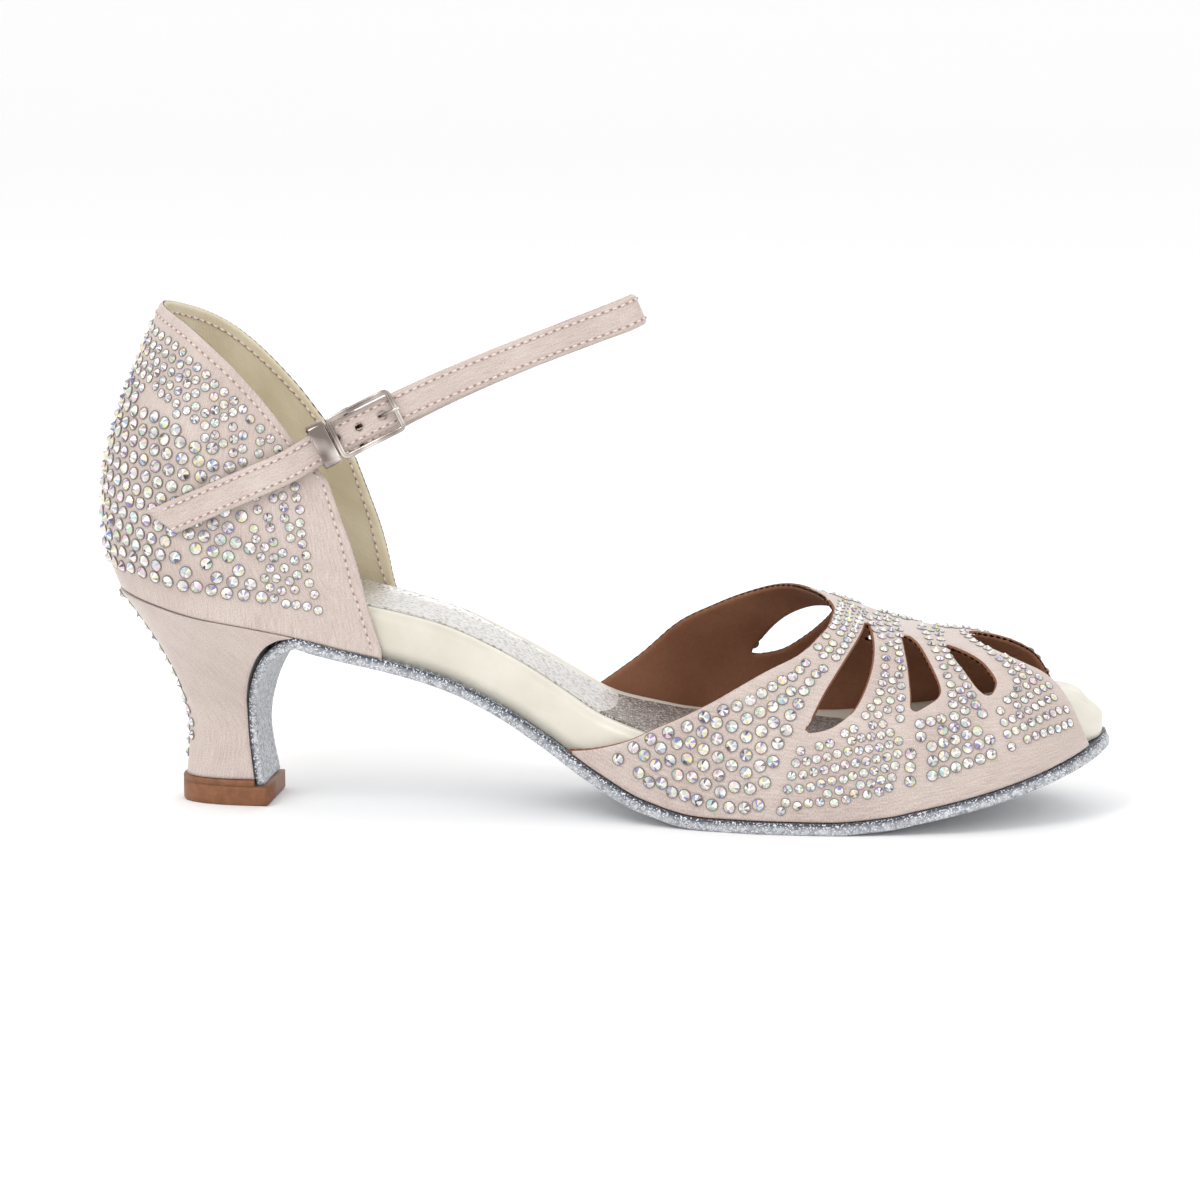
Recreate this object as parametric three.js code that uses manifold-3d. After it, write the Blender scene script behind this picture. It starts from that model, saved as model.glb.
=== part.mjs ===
// A ballroom dance shoe for the right foot: open waist, peep toe, cut-out vamp, covered 5 cm heel.
// Millimetres, +Z up, +X from the heel to the toe, +Y to the inner (medial) side of the foot.
// Each surface is a function of shares: of the length, of the height or round the girth.
import * as THREE from "three";
import { mergeVertices } from "three/addons/utils/BufferGeometryUtils.js";
import Module from "manifold-3d";

const wasm = await Module();
wasm.setup();

// Driving sizes of the last
const LENGTH = 238; // from the back of the seat to the tip of the sole
const BALL_WIDTH = 72; // widest part of the sole, between its two edges
const SEAT_RISE = 49.5; // how far the seat's back lies above the tread
const TOE_SPRING = 16; // how far the tip lies above the tread
const VAMP_HEIGHT = 52; // crown of the vamp near its throat, above the floor
const BACK_HEIGHT = 69.5; // the quarter's back, from the seat to its peak
const HEEL_ROUND = 0.11; // share of the length that rounds the back of the seat
const TOE_ROUND = 0.2; // share of the length that rounds the toe
const PLAN_POWER = 2.2; // squareness of those two round ends

// Driving sizes of the pieces
const SOLE_THICK = 2.8;
const FLAP_THICK = 2;
const UPPER_WALL = 1.6;
const SOLE_MARGIN = 0.4; // the sole's edge outside the upper
const TREAD_FROM = 0.62; // the tread that rests on the floor, as shares of the length
const TREAD_TO = 0.73;
const GAP = 0.3; // between pieces that meet
const VAMP_BULGE = 1.2;
const FOOTBED_LEAN = 0.9; // how far the footbed's wall leans in
const TOE_LEAN = 3.4; // and at the toe, under the vamp
const FOOTBED_ROUND = 3; // radius of its padded rim
const FOOTBED_DISH = 0.8;
const FOOTBED_EASE = 0.8; // extra room round it in the seat
const SOCK_THICK = 0.9;
const SOCK_MARGIN = 0.6; // from the rim's crest to the sock
const TOP_PIECE_HEIGHT = 6.1;
const TOP_PIECE_NOTCH = 1.4; // height of the notch that takes the flap's end
const TOP_PIECE_MARGIN = 0.9; // the top piece's edge outside the heel
const HEEL_BASE_WIDTH = 21.4;
const BREAST_PLACE = 33.8; // the heel's breast at its neck, from the seat's back
const BREAST_SWEEP = 14; // how far the top of the breast runs forward
const BREAST_LEAD = 4; // where the sole begins to turn down, ahead of the breast
const STONE_RISE = 1.1; // a crystal's height, which holds the strap off the quarter
const STRAP_WIDTH = 7.6;
const STRAP_THICK = 1.8;
const STRAP_RUN = 120; // from the tail's end to the fold, along the strap
const STRAP_ANGLE = 23.6; // degrees, the strap's climb
const STRAP_FALL = 3.4; // how much lower the inner half lies
const STRAP_BOW = 2.2; // how far the free stretch arches up
const TAIL_PLACE = BACK_HEIGHT * 0.2446; // the tail's end, from the seat's back
const TAIL_HEIGHT = BACK_HEIGHT * 0.2849; // and above the seat
const TAIL_BEVEL = -2.4; // slant of the tail's cut end
const FOLD_RADIUS = 3.4;
const INNER_END = BACK_HEIGHT * 0.46; // the sewn end on the inner side, from the tail's end
const HOLE_RADIUS = 1;
const HOLE_PITCH = 6;
const BUCKLE_LENGTH = 16.8;
const BUCKLE_WIDTH = 10.8;
const BUCKLE_PLACE = BACK_HEIGHT * 0.774; // middle of the buckle, from the tail's end
const BAR = 1.2;
const BAR_END = 1.5;
const PRONG_RADIUS = 0.45;
const HINGE_RADIUS = 0.6;
const HINGE_BACK = 2.6; // the hinge bar, behind the buckle's middle
const KEEPER_LENGTH = 3;
const KEEPER_WALL = 0.8;
const TAB_THICK = 1.2;

// Colours, roughness and metalness
const SATIN = [0xd9c6be, 0.5, 0];
const SUEDE = [0xaeb0b4, 0.85, 0.2];
const CREAM = [0xe8e2d2, 0.45, 0];
const SILVER = [0xc9c7c2, 0.4, 0.6];
const RUBBER = [0x8a5434, 0.6, 0];
const NICKEL = [0xb8b6b2, 0.2, 1];

// A table of sections: the first column is the place, each other column a smooth function of it.
function table(columns, rows) {
  const places = rows.map((row) => row[0]);
  const made = {};
  columns.slice(1).forEach((name, k) => {
    made[name] = smooth(places, rows.map((row) => row[k + 1]));
  });
  return made;
}

// A monotone cubic through the values, held flat past its ends.
function smooth(places, values) {
  const last = places.length - 1;
  const rise = places.slice(1).map((p, i) => (values[i + 1] - values[i]) / (p - places[i]));
  const slope = places.map((_, i) => {
    if (i === 0) return rise[0];
    if (i === last) return rise[last - 1];
    const both = rise[i - 1] * rise[i];
    return both <= 0 ? 0 : (2 * both) / (rise[i - 1] + rise[i]);
  });
  return (at) => {
    if (at <= places[0]) return values[0];
    if (at >= places[last]) return values[last];
    const i = places.findLastIndex((p) => p <= at);
    const span = places[i + 1] - places[i];
    const t = (at - places[i]) / span;
    const a = values[i] * (1 + 2 * t) * (1 - t) ** 2 + span * slope[i] * t * (1 - t) ** 2;
    const b = values[i + 1] * t * t * (3 - 2 * t) + span * slope[i + 1] * t * t * (t - 1);
    return a + b;
  };
}

// The feather line, where sole and upper meet: shares of the seat's rise and of the toe spring.
const RISE = table(["along", "seat", "toe"], [
  [0.0, 1.0, 0],
  [0.05, 0.955, 0],
  [0.1, 0.905, 0],
  [0.15, 0.863, 0],
  [0.2, 0.816, 0],
  [0.25, 0.754, 0],
  [0.3, 0.695, 0],
  [0.35, 0.618, 0],
  [0.4, 0.5, 0],
  [0.45, 0.347, 0],
  [0.5, 0.18, 0],
  [0.55, 0.06, 0],
  [0.6, 0.004, 0],
  [0.62, 0, 0],
  [0.73, 0, 0],
  [0.79, 0, 0.075],
  [0.82, 0, 0.17],
  [0.86, 0, 0.3],
  [0.9, 0, 0.45],
  [0.94, 0, 0.625],
  [0.98, 0, 0.845],
  [1.0, 0, 1.0],
]);

// The sole's plan: the middle line and the two half widths, as shares of the ball width.
const PLAN = table(["along", "middle", "outer", "inner"], [
  [0.0, 0.0, 0.29, 0.29],
  [0.11, 0.0, 0.355, 0.355],
  [0.2, 0.0, 0.345, 0.335],
  [0.3, 0.0, 0.31, 0.275],
  [0.4, 0.003, 0.288, 0.25],
  [0.48, 0.006, 0.315, 0.285],
  [0.55, 0.012, 0.39, 0.385],
  [0.62, 0.018, 0.462, 0.478],
  [0.68, 0.022, 0.5, 0.522],
  [0.74, 0.026, 0.508, 0.522],
  [0.8, 0.033, 0.495, 0.5],
  [0.88, 0.05, 0.485, 0.46],
  [0.94, 0.065, 0.47, 0.43],
  [1.0, 0.085, 0.45, 0.41],
]);

// The vamp's crown, as a share of its height, and the lines that bound it, round the girth.
const CROWN = table(["along", "height"], [
  [0.45, 1.17],
  [0.55, 1.14],
  [0.63, 1.08],
  [0.68, 1.025],
  [0.73, 0.95],
  [0.755, 0.912],
  [0.79, 0.858],
  [0.83, 0.82],
  [0.87, 0.796],
  [0.9, 0.777],
  [0.93, 0.742],
  [0.96, 0.685],
  [1.0, 0.58],
]);
const THROAT = table(["girth", "along"], [
  [-1.0, 0.47],
  [-0.96, 0.492],
  [-0.88, 0.531],
  [-0.82, 0.558],
  [-0.76, 0.588],
  [-0.68, 0.626],
  [-0.58, 0.664],
  [-0.46, 0.702],
  [-0.36, 0.717],
  [-0.24, 0.728],
  [-0.12, 0.73],
  [0.0, 0.72],
  [0.13, 0.692],
  [0.33, 0.648],
  [0.47, 0.605],
  [0.59, 0.563],
  [0.74, 0.524],
  [0.88, 0.485],
  [1.0, 0.455],
]);
const PEEP = table(["girth", "along"], [
  [-1.0, 0.988],
  [-0.94, 0.986],
  [-0.74, 0.979],
  [-0.53, 0.968],
  [-0.39, 0.955],
  [-0.33, 0.943],
  [-0.26, 0.917],
  [-0.2, 0.897],
  [-0.13, 0.879],
  [-0.05, 0.866],
  [0.03, 0.864],
  [0.12, 0.874],
  [0.2, 0.893],
  [0.28, 0.912],
  [0.37, 0.927],
  [0.6, 0.944],
  [0.8, 0.955],
  [1.0, 0.963],
]);
const OUTER_POWER = 2.35; // squareness of the vamp's outer and inner half sections
const INNER_POWER = 2.5;
const CROWN_SHIFT = 0.045; // the crown inside the middle line, as a share of the ball width
const TOE_DROP = 0.93; // where the crown begins to round down, as a share of the length
const TOE_REACH = 0.082;

// The vamp's cut-outs: outlines through shares of the length and of the girth.
const CUTS = {
  outer_large: [
    [0.764, -0.14],
    [0.771, -0.25],
    [0.773, -0.38],
    [0.77, -0.49],
    [0.763, -0.59],
    [0.754, -0.655],
    [0.74, -0.706],
    [0.726, -0.734],
    [0.712, -0.744],
    [0.718, -0.696],
    [0.727, -0.617],
    [0.743, -0.476],
    [0.755, -0.34],
    [0.761, -0.236],
  ],
  outer_middle: [
    [0.8, -0.15],
    [0.813, -0.2],
    [0.827, -0.345],
    [0.838, -0.48],
    [0.8385, -0.54],
    [0.828, -0.585],
    [0.8145, -0.614],
    [0.812, -0.53],
    [0.808, -0.39],
    [0.803, -0.26],
  ],
  outer_small: [
    [0.842, -0.19],
    [0.859, -0.228],
    [0.877, -0.305],
    [0.89, -0.41],
    [0.8935, -0.475],
    [0.888, -0.538],
    [0.877, -0.497],
    [0.864, -0.39],
    [0.853, -0.297],
  ],
  inner_large: [
    [0.634, 0.69],
    [0.647, 0.615],
    [0.665, 0.522],
    [0.687, 0.425],
    [0.709, 0.33],
    [0.722, 0.3],
    [0.718, 0.4],
    [0.702, 0.523],
    [0.68, 0.623],
    [0.659, 0.675],
  ],
  inner_middle: [
    [0.752, 0.51],
    [0.764, 0.45],
    [0.776, 0.36],
    [0.788, 0.27],
    [0.799, 0.215],
    [0.808, 0.2],
    [0.806, 0.29],
    [0.798, 0.38],
    [0.786, 0.46],
    [0.77, 0.505],
  ],
  inner_small: [
    [0.824, 0.44],
    [0.835, 0.39],
    [0.846, 0.32],
    [0.857, 0.25],
    [0.867, 0.235],
    [0.868, 0.31],
    [0.861, 0.38],
    [0.85, 0.43],
    [0.837, 0.45],
  ],
};

// The quarter: back profile and front edge by height, topline by depth, and girth by height.
const QUARTER = table(["height", "back", "front", "girth"], [
  [-0.16, 0.023, 0.983, 1.0],
  [0.0, 0.023, 0.935, 1.0],
  [0.09, -0.006, 0.915, 1.02],
  [0.19, -0.027, 0.888, 1.035],
  [0.29, -0.033, 0.853, 1.033],
  [0.4, -0.026, 0.814, 1.01],
  [0.5, -0.007, 0.78, 0.98],
  [0.6, 0.023, 0.74, 0.94],
  [0.7, 0.059, 0.7, 0.89],
  [0.81, 0.101, 0.65, 0.83],
  [0.92, 0.148, 0.6, 0.765],
  [1.0, 0.18, 0.55, 0.71],
]);
const TOPLINE = table(["depth", "height"], [
  [0.0, 1.0],
  [0.17, 0.945],
  [0.39, 0.845],
  [0.63, 0.7],
  [0.82, 0.563],
  [1.0, 0.426],
]);
const TURN_POWER = 1.8; // how much denser the quarter's turn is at the back
const QUARTER_FOOT = 0.983; // the front edge's foot from the seat's back, as a share of the back height
const SEAT_DROP = 1.1; // the seat's low point for those heights, under the feather line's back end

// The footbed's upper face, as shares of the seat's rise over the sole.
const BED = table(["along", "height"], [
  [0.0, 1.09],
  [0.05, 1.075],
  [0.1, 1.055],
  [0.15, 1.034],
  [0.2, 1.01],
  [0.25, 0.973],
  [0.27, 0.953],
  [0.3, 0.92],
  [0.345, 0.858],
  [0.385, 0.772],
  [0.425, 0.667],
  [0.465, 0.545],
  [0.5, 0.44],
  [0.54, 0.375],
  [0.575, 0.332],
  [0.63, 0.3],
  [0.71, 0.297],
  [0.8, 0.34],
  [0.88, 0.415],
  [0.93, 0.49],
  [0.96, 0.515],
  [0.975, 0.508],
  [0.99, 0.46],
  [1.0, 0.4],
]);

// The breast, from its top to its foot: places forward and up, as shares of the sweep and the rise.
const BREAST = [
  [0.72, 0.965],
  [0.46, 0.9],
  [0.25, 0.8],
  [0.1, 0.68],
  [0.02, 0.55],
  [0.0, 0.42],
  [0.04, 0.28],
  [0.12, 0.12],
];

// The heel, from its foot to the seat: the back's place forward of the seat's back, as a share of
// the breast's place, the half width as a share of the foot's, and how far it follows the seat.
const HEEL = table(["up", "back", "width", "seat"], [
  [0.0, 0.495, 1.0, 0],
  [0.14, 0.512, 0.92, 0],
  [0.28, 0.522, 0.89, 0],
  [0.4, 0.5, 1.02, 0],
  [0.52, 0.46, 1.3, 0],
  [0.64, 0.398, 1.58, 0.02],
  [0.76, 0.32, 1.84, 0.08],
  [0.88, 0.225, 2.08, 0.25],
  [0.95, 0.155, 2.22, 0.5],
  [1.0, 0.05, 2.3, 1],
]);

// The strap's free half: how far out it lies, as a share of its place at the quarter's corner.
const REACH = table(["along", "out"], [
  [0.0, 1.0],
  [0.12, 0.97],
  [0.3, 0.83],
  [0.55, 0.56],
  [0.8, 0.29],
  [0.95, 0.155],
  [1.0, 0.13],
]);
const FREE_FROM = BACK_HEIGHT * 0.489; // where the strap leaves the quarter, from the tail's end
const STRAP_STATIONS = [0, 0.07, 0.14, 0.21, 0.28, 0.34, 0.41, 0.48, 0.58, 0.68, 0.78, 0.88, 0.96, 1];

const lerp = THREE.MathUtils.lerp;
const clamp = THREE.MathUtils.clamp;

function feather(x) {
  const along = x / LENGTH;
  return SOLE_THICK + SEAT_RISE * RISE.seat(along) + TOE_SPRING * RISE.toe(along);
}

// A place along the length for an even share that is denser towards both ends, and its inverse.
function place(share) {
  return (LENGTH * (1 - Math.cos(Math.PI * share))) / 2;
}

function shareAt(x) {
  return Math.acos(clamp(1 - (2 * x) / LENGTH, -1, 1)) / Math.PI;
}

function roundEnd(along) {
  const heel = clamp(1 - along / HEEL_ROUND, 0, 1);
  const toe = clamp(1 - (1 - along) / TOE_ROUND, 0, 1);
  return Math.max(0, 1 - Math.max(heel, toe) ** PLAN_POWER) ** (1 / PLAN_POWER);
}

// The sole's edge in plan. side is -1 on the outer side and 1 on the inner one.
function edge(share, side) {
  const beyond = share < 0 || share > 1;
  const hand = beyond ? -side : side;
  const x = place(share > 1 ? 2 - share : Math.abs(share));
  const along = x / LENGTH;
  const half = hand < 0 ? PLAN.outer(along) : PLAN.inner(along);
  const y = BALL_WIDTH * (PLAN.middle(along) + hand * half * roundEnd(along));
  return new THREE.Vector2(x, y);
}

// That edge moved in by an inset, square to itself.
function rim(share, side, inset) {
  const step = 1e-3;
  const run = edge(share + step, side).sub(edge(share - step, side)).normalize();
  const out = new THREE.Vector2(-run.y, run.x).multiplyScalar(side);
  return edge(share, side).addScaledVector(out, -inset);
}

// The vamp's outer face: a share of the length, and the girth from -1 over the crown at 0 to 1.
function vampAt(share, girth) {
  const side = girth < 0 ? -1 : 1;
  const x = place(share);
  const along = x / LENGTH;
  const foot = rim(share, side, SOLE_MARGIN);
  const drop = clamp((along - TOE_DROP) / TOE_REACH, 0, 0.999);
  const round = (1 - drop ** PLAN_POWER) ** (1 / PLAN_POWER);
  const low = feather(x) + GAP;
  const high = low + (VAMP_HEIGHT * CROWN.height(along) - low) * round;
  const power = side < 0 ? OUTER_POWER : INNER_POWER;
  const turn = ((1 - Math.abs(girth)) * Math.PI) / 2;
  const across = Math.max(0, Math.cos(turn)) ** (2 / power);
  const up = Math.max(0, Math.sin(turn)) ** (2 / power);
  const bulge = side * VAMP_BULGE * round * Math.sin(Math.PI * Math.min(1, up / 0.75));
  const ridge = BALL_WIDTH * (PLAN.middle(along) + CROWN_SHIFT);
  return new THREE.Vector3(
    lerp(x, foot.x, across),
    lerp(ridge, foot.y, across) + bulge,
    lerp(low, high, up),
  );
}

// The quarter's outer face: turn from -1 at the outer front edge over the back at 0 to 1 at the
// inner front edge, and up from 0 at the seat to 1 at the topline.
function quarterAt(turn, up) {
  const side = turn < 0 ? -1 : 1;
  const depth = Math.abs(turn) ** TURN_POWER;
  const foot = BACK_HEIGHT * QUARTER_FOOT;
  const seat = SOLE_THICK + SEAT_RISE - SEAT_DROP;
  const level = (share) => {
    const low = feather(foot * share) + GAP;
    return lerp(low, seat + BACK_HEIGHT * TOPLINE.height(share), up);
  };
  const z = level(depth);
  const height = (z - seat) / BACK_HEIGHT;
  const frontHeight = (level(1) - seat) / BACK_HEIGHT;
  const reach = QUARTER.front(frontHeight) - QUARTER.back(frontHeight);
  const plan = rim(shareAt(foot * depth), side, SOLE_MARGIN);
  const rear = rim(0, side, SOLE_MARGIN).x;
  const x = BACK_HEIGHT * (QUARTER.back(height) + (reach * (plan.x - rear)) / (foot - rear));
  return new THREE.Vector3(x, plan.y * QUARTER.girth(height), z);
}

// The quarter's half width at a place seen from the side.
function quarterWidth(x, z, side) {
  let near = 0;
  let far = 1;
  let point;
  for (let i = 0; i < 30; i++) {
    const turn = (near + far) / 2;
    const low = quarterAt(side * turn, 0).z;
    const high = quarterAt(side * turn, 1).z;
    point = quarterAt(side * turn, clamp((z - low) / (high - low), 0, 1.1));
    if (point.x < x) near = turn;
    else far = turn;
  }
  return Math.abs(point.y);
}

// The outward normal of a face that is a function of two shares.
function normalOf(face, a, b, hand) {
  const step = 1e-3;
  const da = face(a + step, b).sub(face(a - step, b));
  const db = face(a, b + step).sub(face(a, b - step));
  return da.cross(db).normalize().multiplyScalar(hand);
}

function footbedTop(x) {
  return SOLE_THICK + SEAT_RISE * BED.height(x / LENGTH);
}

// Solids from vertices and triangles, turned so that their faces point out.
function solid(points, faces) {
  const flat = points.flatMap((p) => [p.x, p.y, p.z]);
  let volume = 0;
  for (const [a, b, c] of faces) {
    volume += points[a].dot(points[b].clone().cross(points[c]));
  }
  const turned = volume < 0 ? faces.map(([a, b, c]) => [a, c, b]) : faces;
  const geometry = new THREE.BufferGeometry();
  geometry.setAttribute("position", new THREE.Float32BufferAttribute(flat, 3));
  geometry.setIndex(turned.flat());
  return geometry;
}

// Two triangles between four corners.
function quad(a, b, c, d) {
  return [
    [a, b, c],
    [a, c, d],
  ];
}

// A loft through closed rings of equal counts. A ladder cap joins each point to its mirror.
function loft(rings, ladder) {
  const count = rings[0].length;
  const faces = [];
  for (let k = 0; k + 1 < rings.length; k++) {
    for (let i = 0; i < count; i++) {
      const j = (i + 1) % count;
      const low = k * count;
      const high = low + count;
      faces.push(...quad(low + i, low + j, high + j, high + i));
    }
  }
  const cap = (start, flip) => {
    const pairs = [];
    if (ladder) {
      for (let i = 0; i + 1 < count / 2; i++) {
        pairs.push(...quad(start + i, start + i + 1, start + count - 2 - i, start + count - 1 - i));
      }
    } else {
      for (let i = 1; i + 1 < count; i++) pairs.push([start, start + i, start + i + 1]);
    }
    faces.push(...pairs.map(([a, b, c]) => (flip ? [a, b, c] : [a, c, b])));
  };
  cap(0, false);
  cap((rings.length - 1) * count, true);
  const sound = faces.filter(([a, b, c]) => a !== b && b !== c && a !== c);
  return solid(rings.flat(), sound);
}

// A wall of one thickness behind a face, sampled on a grid and closed along its four borders.
function wall(face, rows, columns, hand) {
  const outer = [];
  const inner = [];
  rows.forEach((a) => {
    columns.forEach((b) => {
      const [u, v] = face.shares(a, b);
      const point = face.at(u, v);
      outer.push(point);
      inner.push(point.clone().addScaledVector(normalOf(face.at, u, v, hand), -UPPER_WALL));
    });
  });
  const n = columns.length;
  const m = rows.length;
  const shift = outer.length;
  const faces = [];
  for (let i = 0; i + 1 < m; i++) {
    for (let j = 0; j + 1 < n; j++) {
      const a = i * n + j;
      faces.push(...quad(a, a + 1, a + n + 1, a + n));
      faces.push(...quad(shift + a, shift + a + n, shift + a + n + 1, shift + a + 1));
    }
  }
  const border = [];
  for (let j = 0; j < n; j++) border.push(j);
  for (let i = 1; i < m; i++) border.push(i * n + n - 1);
  for (let j = n - 2; j >= 0; j--) border.push((m - 1) * n + j);
  for (let i = m - 2; i >= 1; i--) border.push(i * n);
  border.forEach((a, k) => {
    const b = border[(k + 1) % border.length];
    faces.push(...quad(a, shift + a, shift + b, b));
  });
  return solid([...outer, ...inner], faces);
}

function even(count, from, to) {
  return Array.from({ length: count + 1 }, (_, i) => lerp(from, to, i / count));
}

// Booleans
function toManifold(geometry) {
  const bare = geometry.clone();
  bare.deleteAttribute("normal");
  bare.deleteAttribute("uv");
  const merged = mergeVertices(bare, 1e-4);
  return new wasm.Manifold(
    new wasm.Mesh({
      numProp: 3,
      vertProperties: new Float32Array(merged.attributes.position.array),
      triVerts: new Uint32Array(merged.index.array),
    }),
  );
}

function fromManifold(made) {
  const mesh = made.getMesh();
  const geometry = new THREE.BufferGeometry();
  geometry.setAttribute("position", new THREE.BufferAttribute(mesh.vertProperties, 3));
  geometry.setIndex(new THREE.BufferAttribute(mesh.triVerts, 1));
  return geometry;
}

function cut(geometry, tools) {
  return fromManifold(
    tools.reduce((made, tool) => made.subtract(toManifold(tool)), toManifold(geometry)),
  );
}

function join(geometries) {
  return fromManifold(geometries.map(toManifold).reduce((made, next) => made.add(next)));
}

const shoe = new THREE.Group();

function addPiece(name, geometry, [color, roughness, metalness], parent = shoe) {
  const material = new THREE.MeshStandardMaterial({ color, roughness, metalness });
  material.flatShading = true;
  const mesh = new THREE.Mesh(geometry, material);
  mesh.name = name;
  parent.add(mesh);
  return mesh;
}

// Outsole: a plate from the tip to the seat, whose end turns down the heel's breast as a flap.
function breastTop() {
  return BREAST_PLACE + BREAST_SWEEP;
}

function breastPath() {
  const top = breastTop();
  const rise = feather(top);
  const points = BREAST.map(([forward, up]) => {
    return new THREE.Vector3(BREAST_PLACE + BREAST_SWEEP * forward, 0, rise * up);
  });
  points.unshift(new THREE.Vector3(top, 0, rise));
  const foot = points[points.length - 1];
  foot.z = TOP_PIECE_HEIGHT - TOP_PIECE_NOTCH + GAP;
  return points;
}

// The breast's place at a height, along the path's back face.
function breastAt(z) {
  const points = breastPath().reverse();
  const curve = smooth(points.map((p) => p.z), points.map((p) => p.x));
  return curve(z);
}

function heelShare(z, x) {
  const low = TOP_PIECE_HEIGHT + GAP;
  return clamp((z - low) / (feather(x) - low), 0, 1);
}

function heelHalfWidth(up, share, side) {
  const plain = (HEEL.width(up) * HEEL_BASE_WIDTH) / 2;
  const seat = Math.abs(rim(share, side, SOLE_MARGIN).y);
  return lerp(plain, seat, HEEL.seat(up));
}

function outsole() {
  const rings = [];
  const top = breastTop();
  const section = (back, out, outerY, innerY, thick) => {
    const soft = Math.min(0.7, thick / 3);
    const at = (y, depth) => new THREE.Vector3(back.x, y, back.z).addScaledVector(out, depth);
    rings.push([
      at(outerY + soft, 0),
      at(outerY, soft),
      at(outerY, thick - soft),
      at(outerY + soft, thick),
      at(innerY - soft, thick),
      at(innerY, thick - soft),
      at(innerY, soft),
      at(innerY - soft, 0),
    ]);
  };
  const shares = even(46, 0.994, shareAt(top + BREAST_LEAD));
  shares.forEach((share) => {
    const x = place(share);
    const slope = feather(x + 0.5) - feather(x - 0.5);
    const out = new THREE.Vector3(slope, 0, -1).normalize();
    if (x > LENGTH * TREAD_FROM && x < LENGTH * TREAD_TO) out.set(0, 0, -1);
    const outer = rim(share, -1, 0);
    const inner = rim(share, 1, 0);
    const back = new THREE.Vector3(x, 0, feather(x));
    section(back, out, outer.y, inner.y, SOLE_THICK);
  });
  const curve = new THREE.CatmullRomCurve3([
    new THREE.Vector3(top + BREAST_LEAD, 0, feather(top + BREAST_LEAD)),
    ...breastPath(),
  ]);
  const steps = 18;
  for (let k = 2; k <= steps; k++) {
    const t = k / steps;
    const back = curve.getPointAt(t);
    const run = curve.getTangentAt(t);
    const out = new THREE.Vector3(-run.z, 0, run.x);
    const share = shareAt(Math.max(back.x, breastAt(back.z)));
    const up = heelShare(back.z, back.x);
    const outer = heelHalfWidth(up, share, -1);
    const inner = heelHalfWidth(up, share, 1);
    section(back, out, -outer, inner, lerp(SOLE_THICK, FLAP_THICK, Math.min(1, t * 2)));
  }
  return loft(rings, true);
}

// Footbed: a padded platform with a round rim, from the seat's back to the peep toe.
const BED_SHARES = even(46, 0.02, 0.982);

// One section's measures: its two feet, its two levels, the rim's crest and the dish inside it.
function bedSection(share) {
  const seated = 1 - THREE.MathUtils.smoothstep(place(share) / LENGTH, 0.08, 0.25);
  const bare = THREE.MathUtils.smoothstep(share, 0.93, 0.97);
  const inset = SOLE_MARGIN + GAP + UPPER_WALL * (1 - bare) + FOOTBED_EASE * seated;
  const outer = rim(share, -1, inset);
  const inner = rim(share, 1, inset);
  const low = feather(place(share)) + GAP;
  const high = footbedTop(place(share));
  const width = inner.y - outer.y;
  const round = Math.min(FOOTBED_ROUND, width / 4, (high - low) / 2);
  const toe = THREE.MathUtils.smoothstep(place(share) / LENGTH, 0.82, 0.92);
  const lean = Math.min(lerp(FOOTBED_LEAN, TOE_LEAN, toe), width / 8);
  const crest = lean + round;
  return { outer, inner, low, high, round, lean, crest, dish: crest + width * 0.15 };
}

function footbed() {
  const rings = BED_SHARES.map((share) => {
    const { outer, inner, low, high, round, lean, crest, dish } = bedSection(share);
    const half = (foot, hand) => {
      const at = (inward, z) => new THREE.Vector3(foot.x, foot.y - hand * inward, z);
      return [
        at(0, low),
        at(lean * 0.3, lerp(low, high - round, 0.55)),
        at(lean, high - round),
        at(lean + round * 0.3, high - round * 0.3),
        at(crest, high),
        at(dish, high - FOOTBED_DISH),
      ];
    };
    return [...half(outer, -1), ...half(inner, 1).reverse()];
  });
  return loft(rings, true);
}

// Sock: the thin lining on the footbed, inside its rim.
function sock() {
  const shares = BED_SHARES.filter((share) => share > 0.12 && share < 0.92);
  const rings = shares.map((share) => {
    const { outer, inner, high, crest, dish } = bedSection(share);
    const start = crest + SOCK_MARGIN;
    const drop = (FOOTBED_DISH * SOCK_MARGIN) / (dish - crest);
    const half = (foot, hand, up) => [
      new THREE.Vector3(foot.x, foot.y - hand * start, high - drop + up),
      new THREE.Vector3(foot.x, foot.y - hand * dish, high - FOOTBED_DISH + up),
    ];
    const face = (up) => [...half(outer, -1, up), ...half(inner, 1, up).reverse()];
    return [...face(GAP), ...face(GAP + SOCK_THICK).reverse()];
  });
  return loft(rings, false);
}

// Quarter: one wall round the heel, from the outer front edge over the back to the inner one.
function quarter() {
  const face = { at: quarterAt, shares: (a, b) => [a, b] };
  const turns = even(40, -0.9995, 0.9995);
  return wall(face, turns, even(9, 0, 1), -1);
}

// Vamp: one wall over the toes between the throat and the peep toe, less its cut-outs.
function vampShares(ahead, girth) {
  const from = shareAt(LENGTH * THROAT.along(girth));
  const to = shareAt(LENGTH * PEEP.along(girth));
  return [lerp(from, to, ahead), girth];
}

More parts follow.
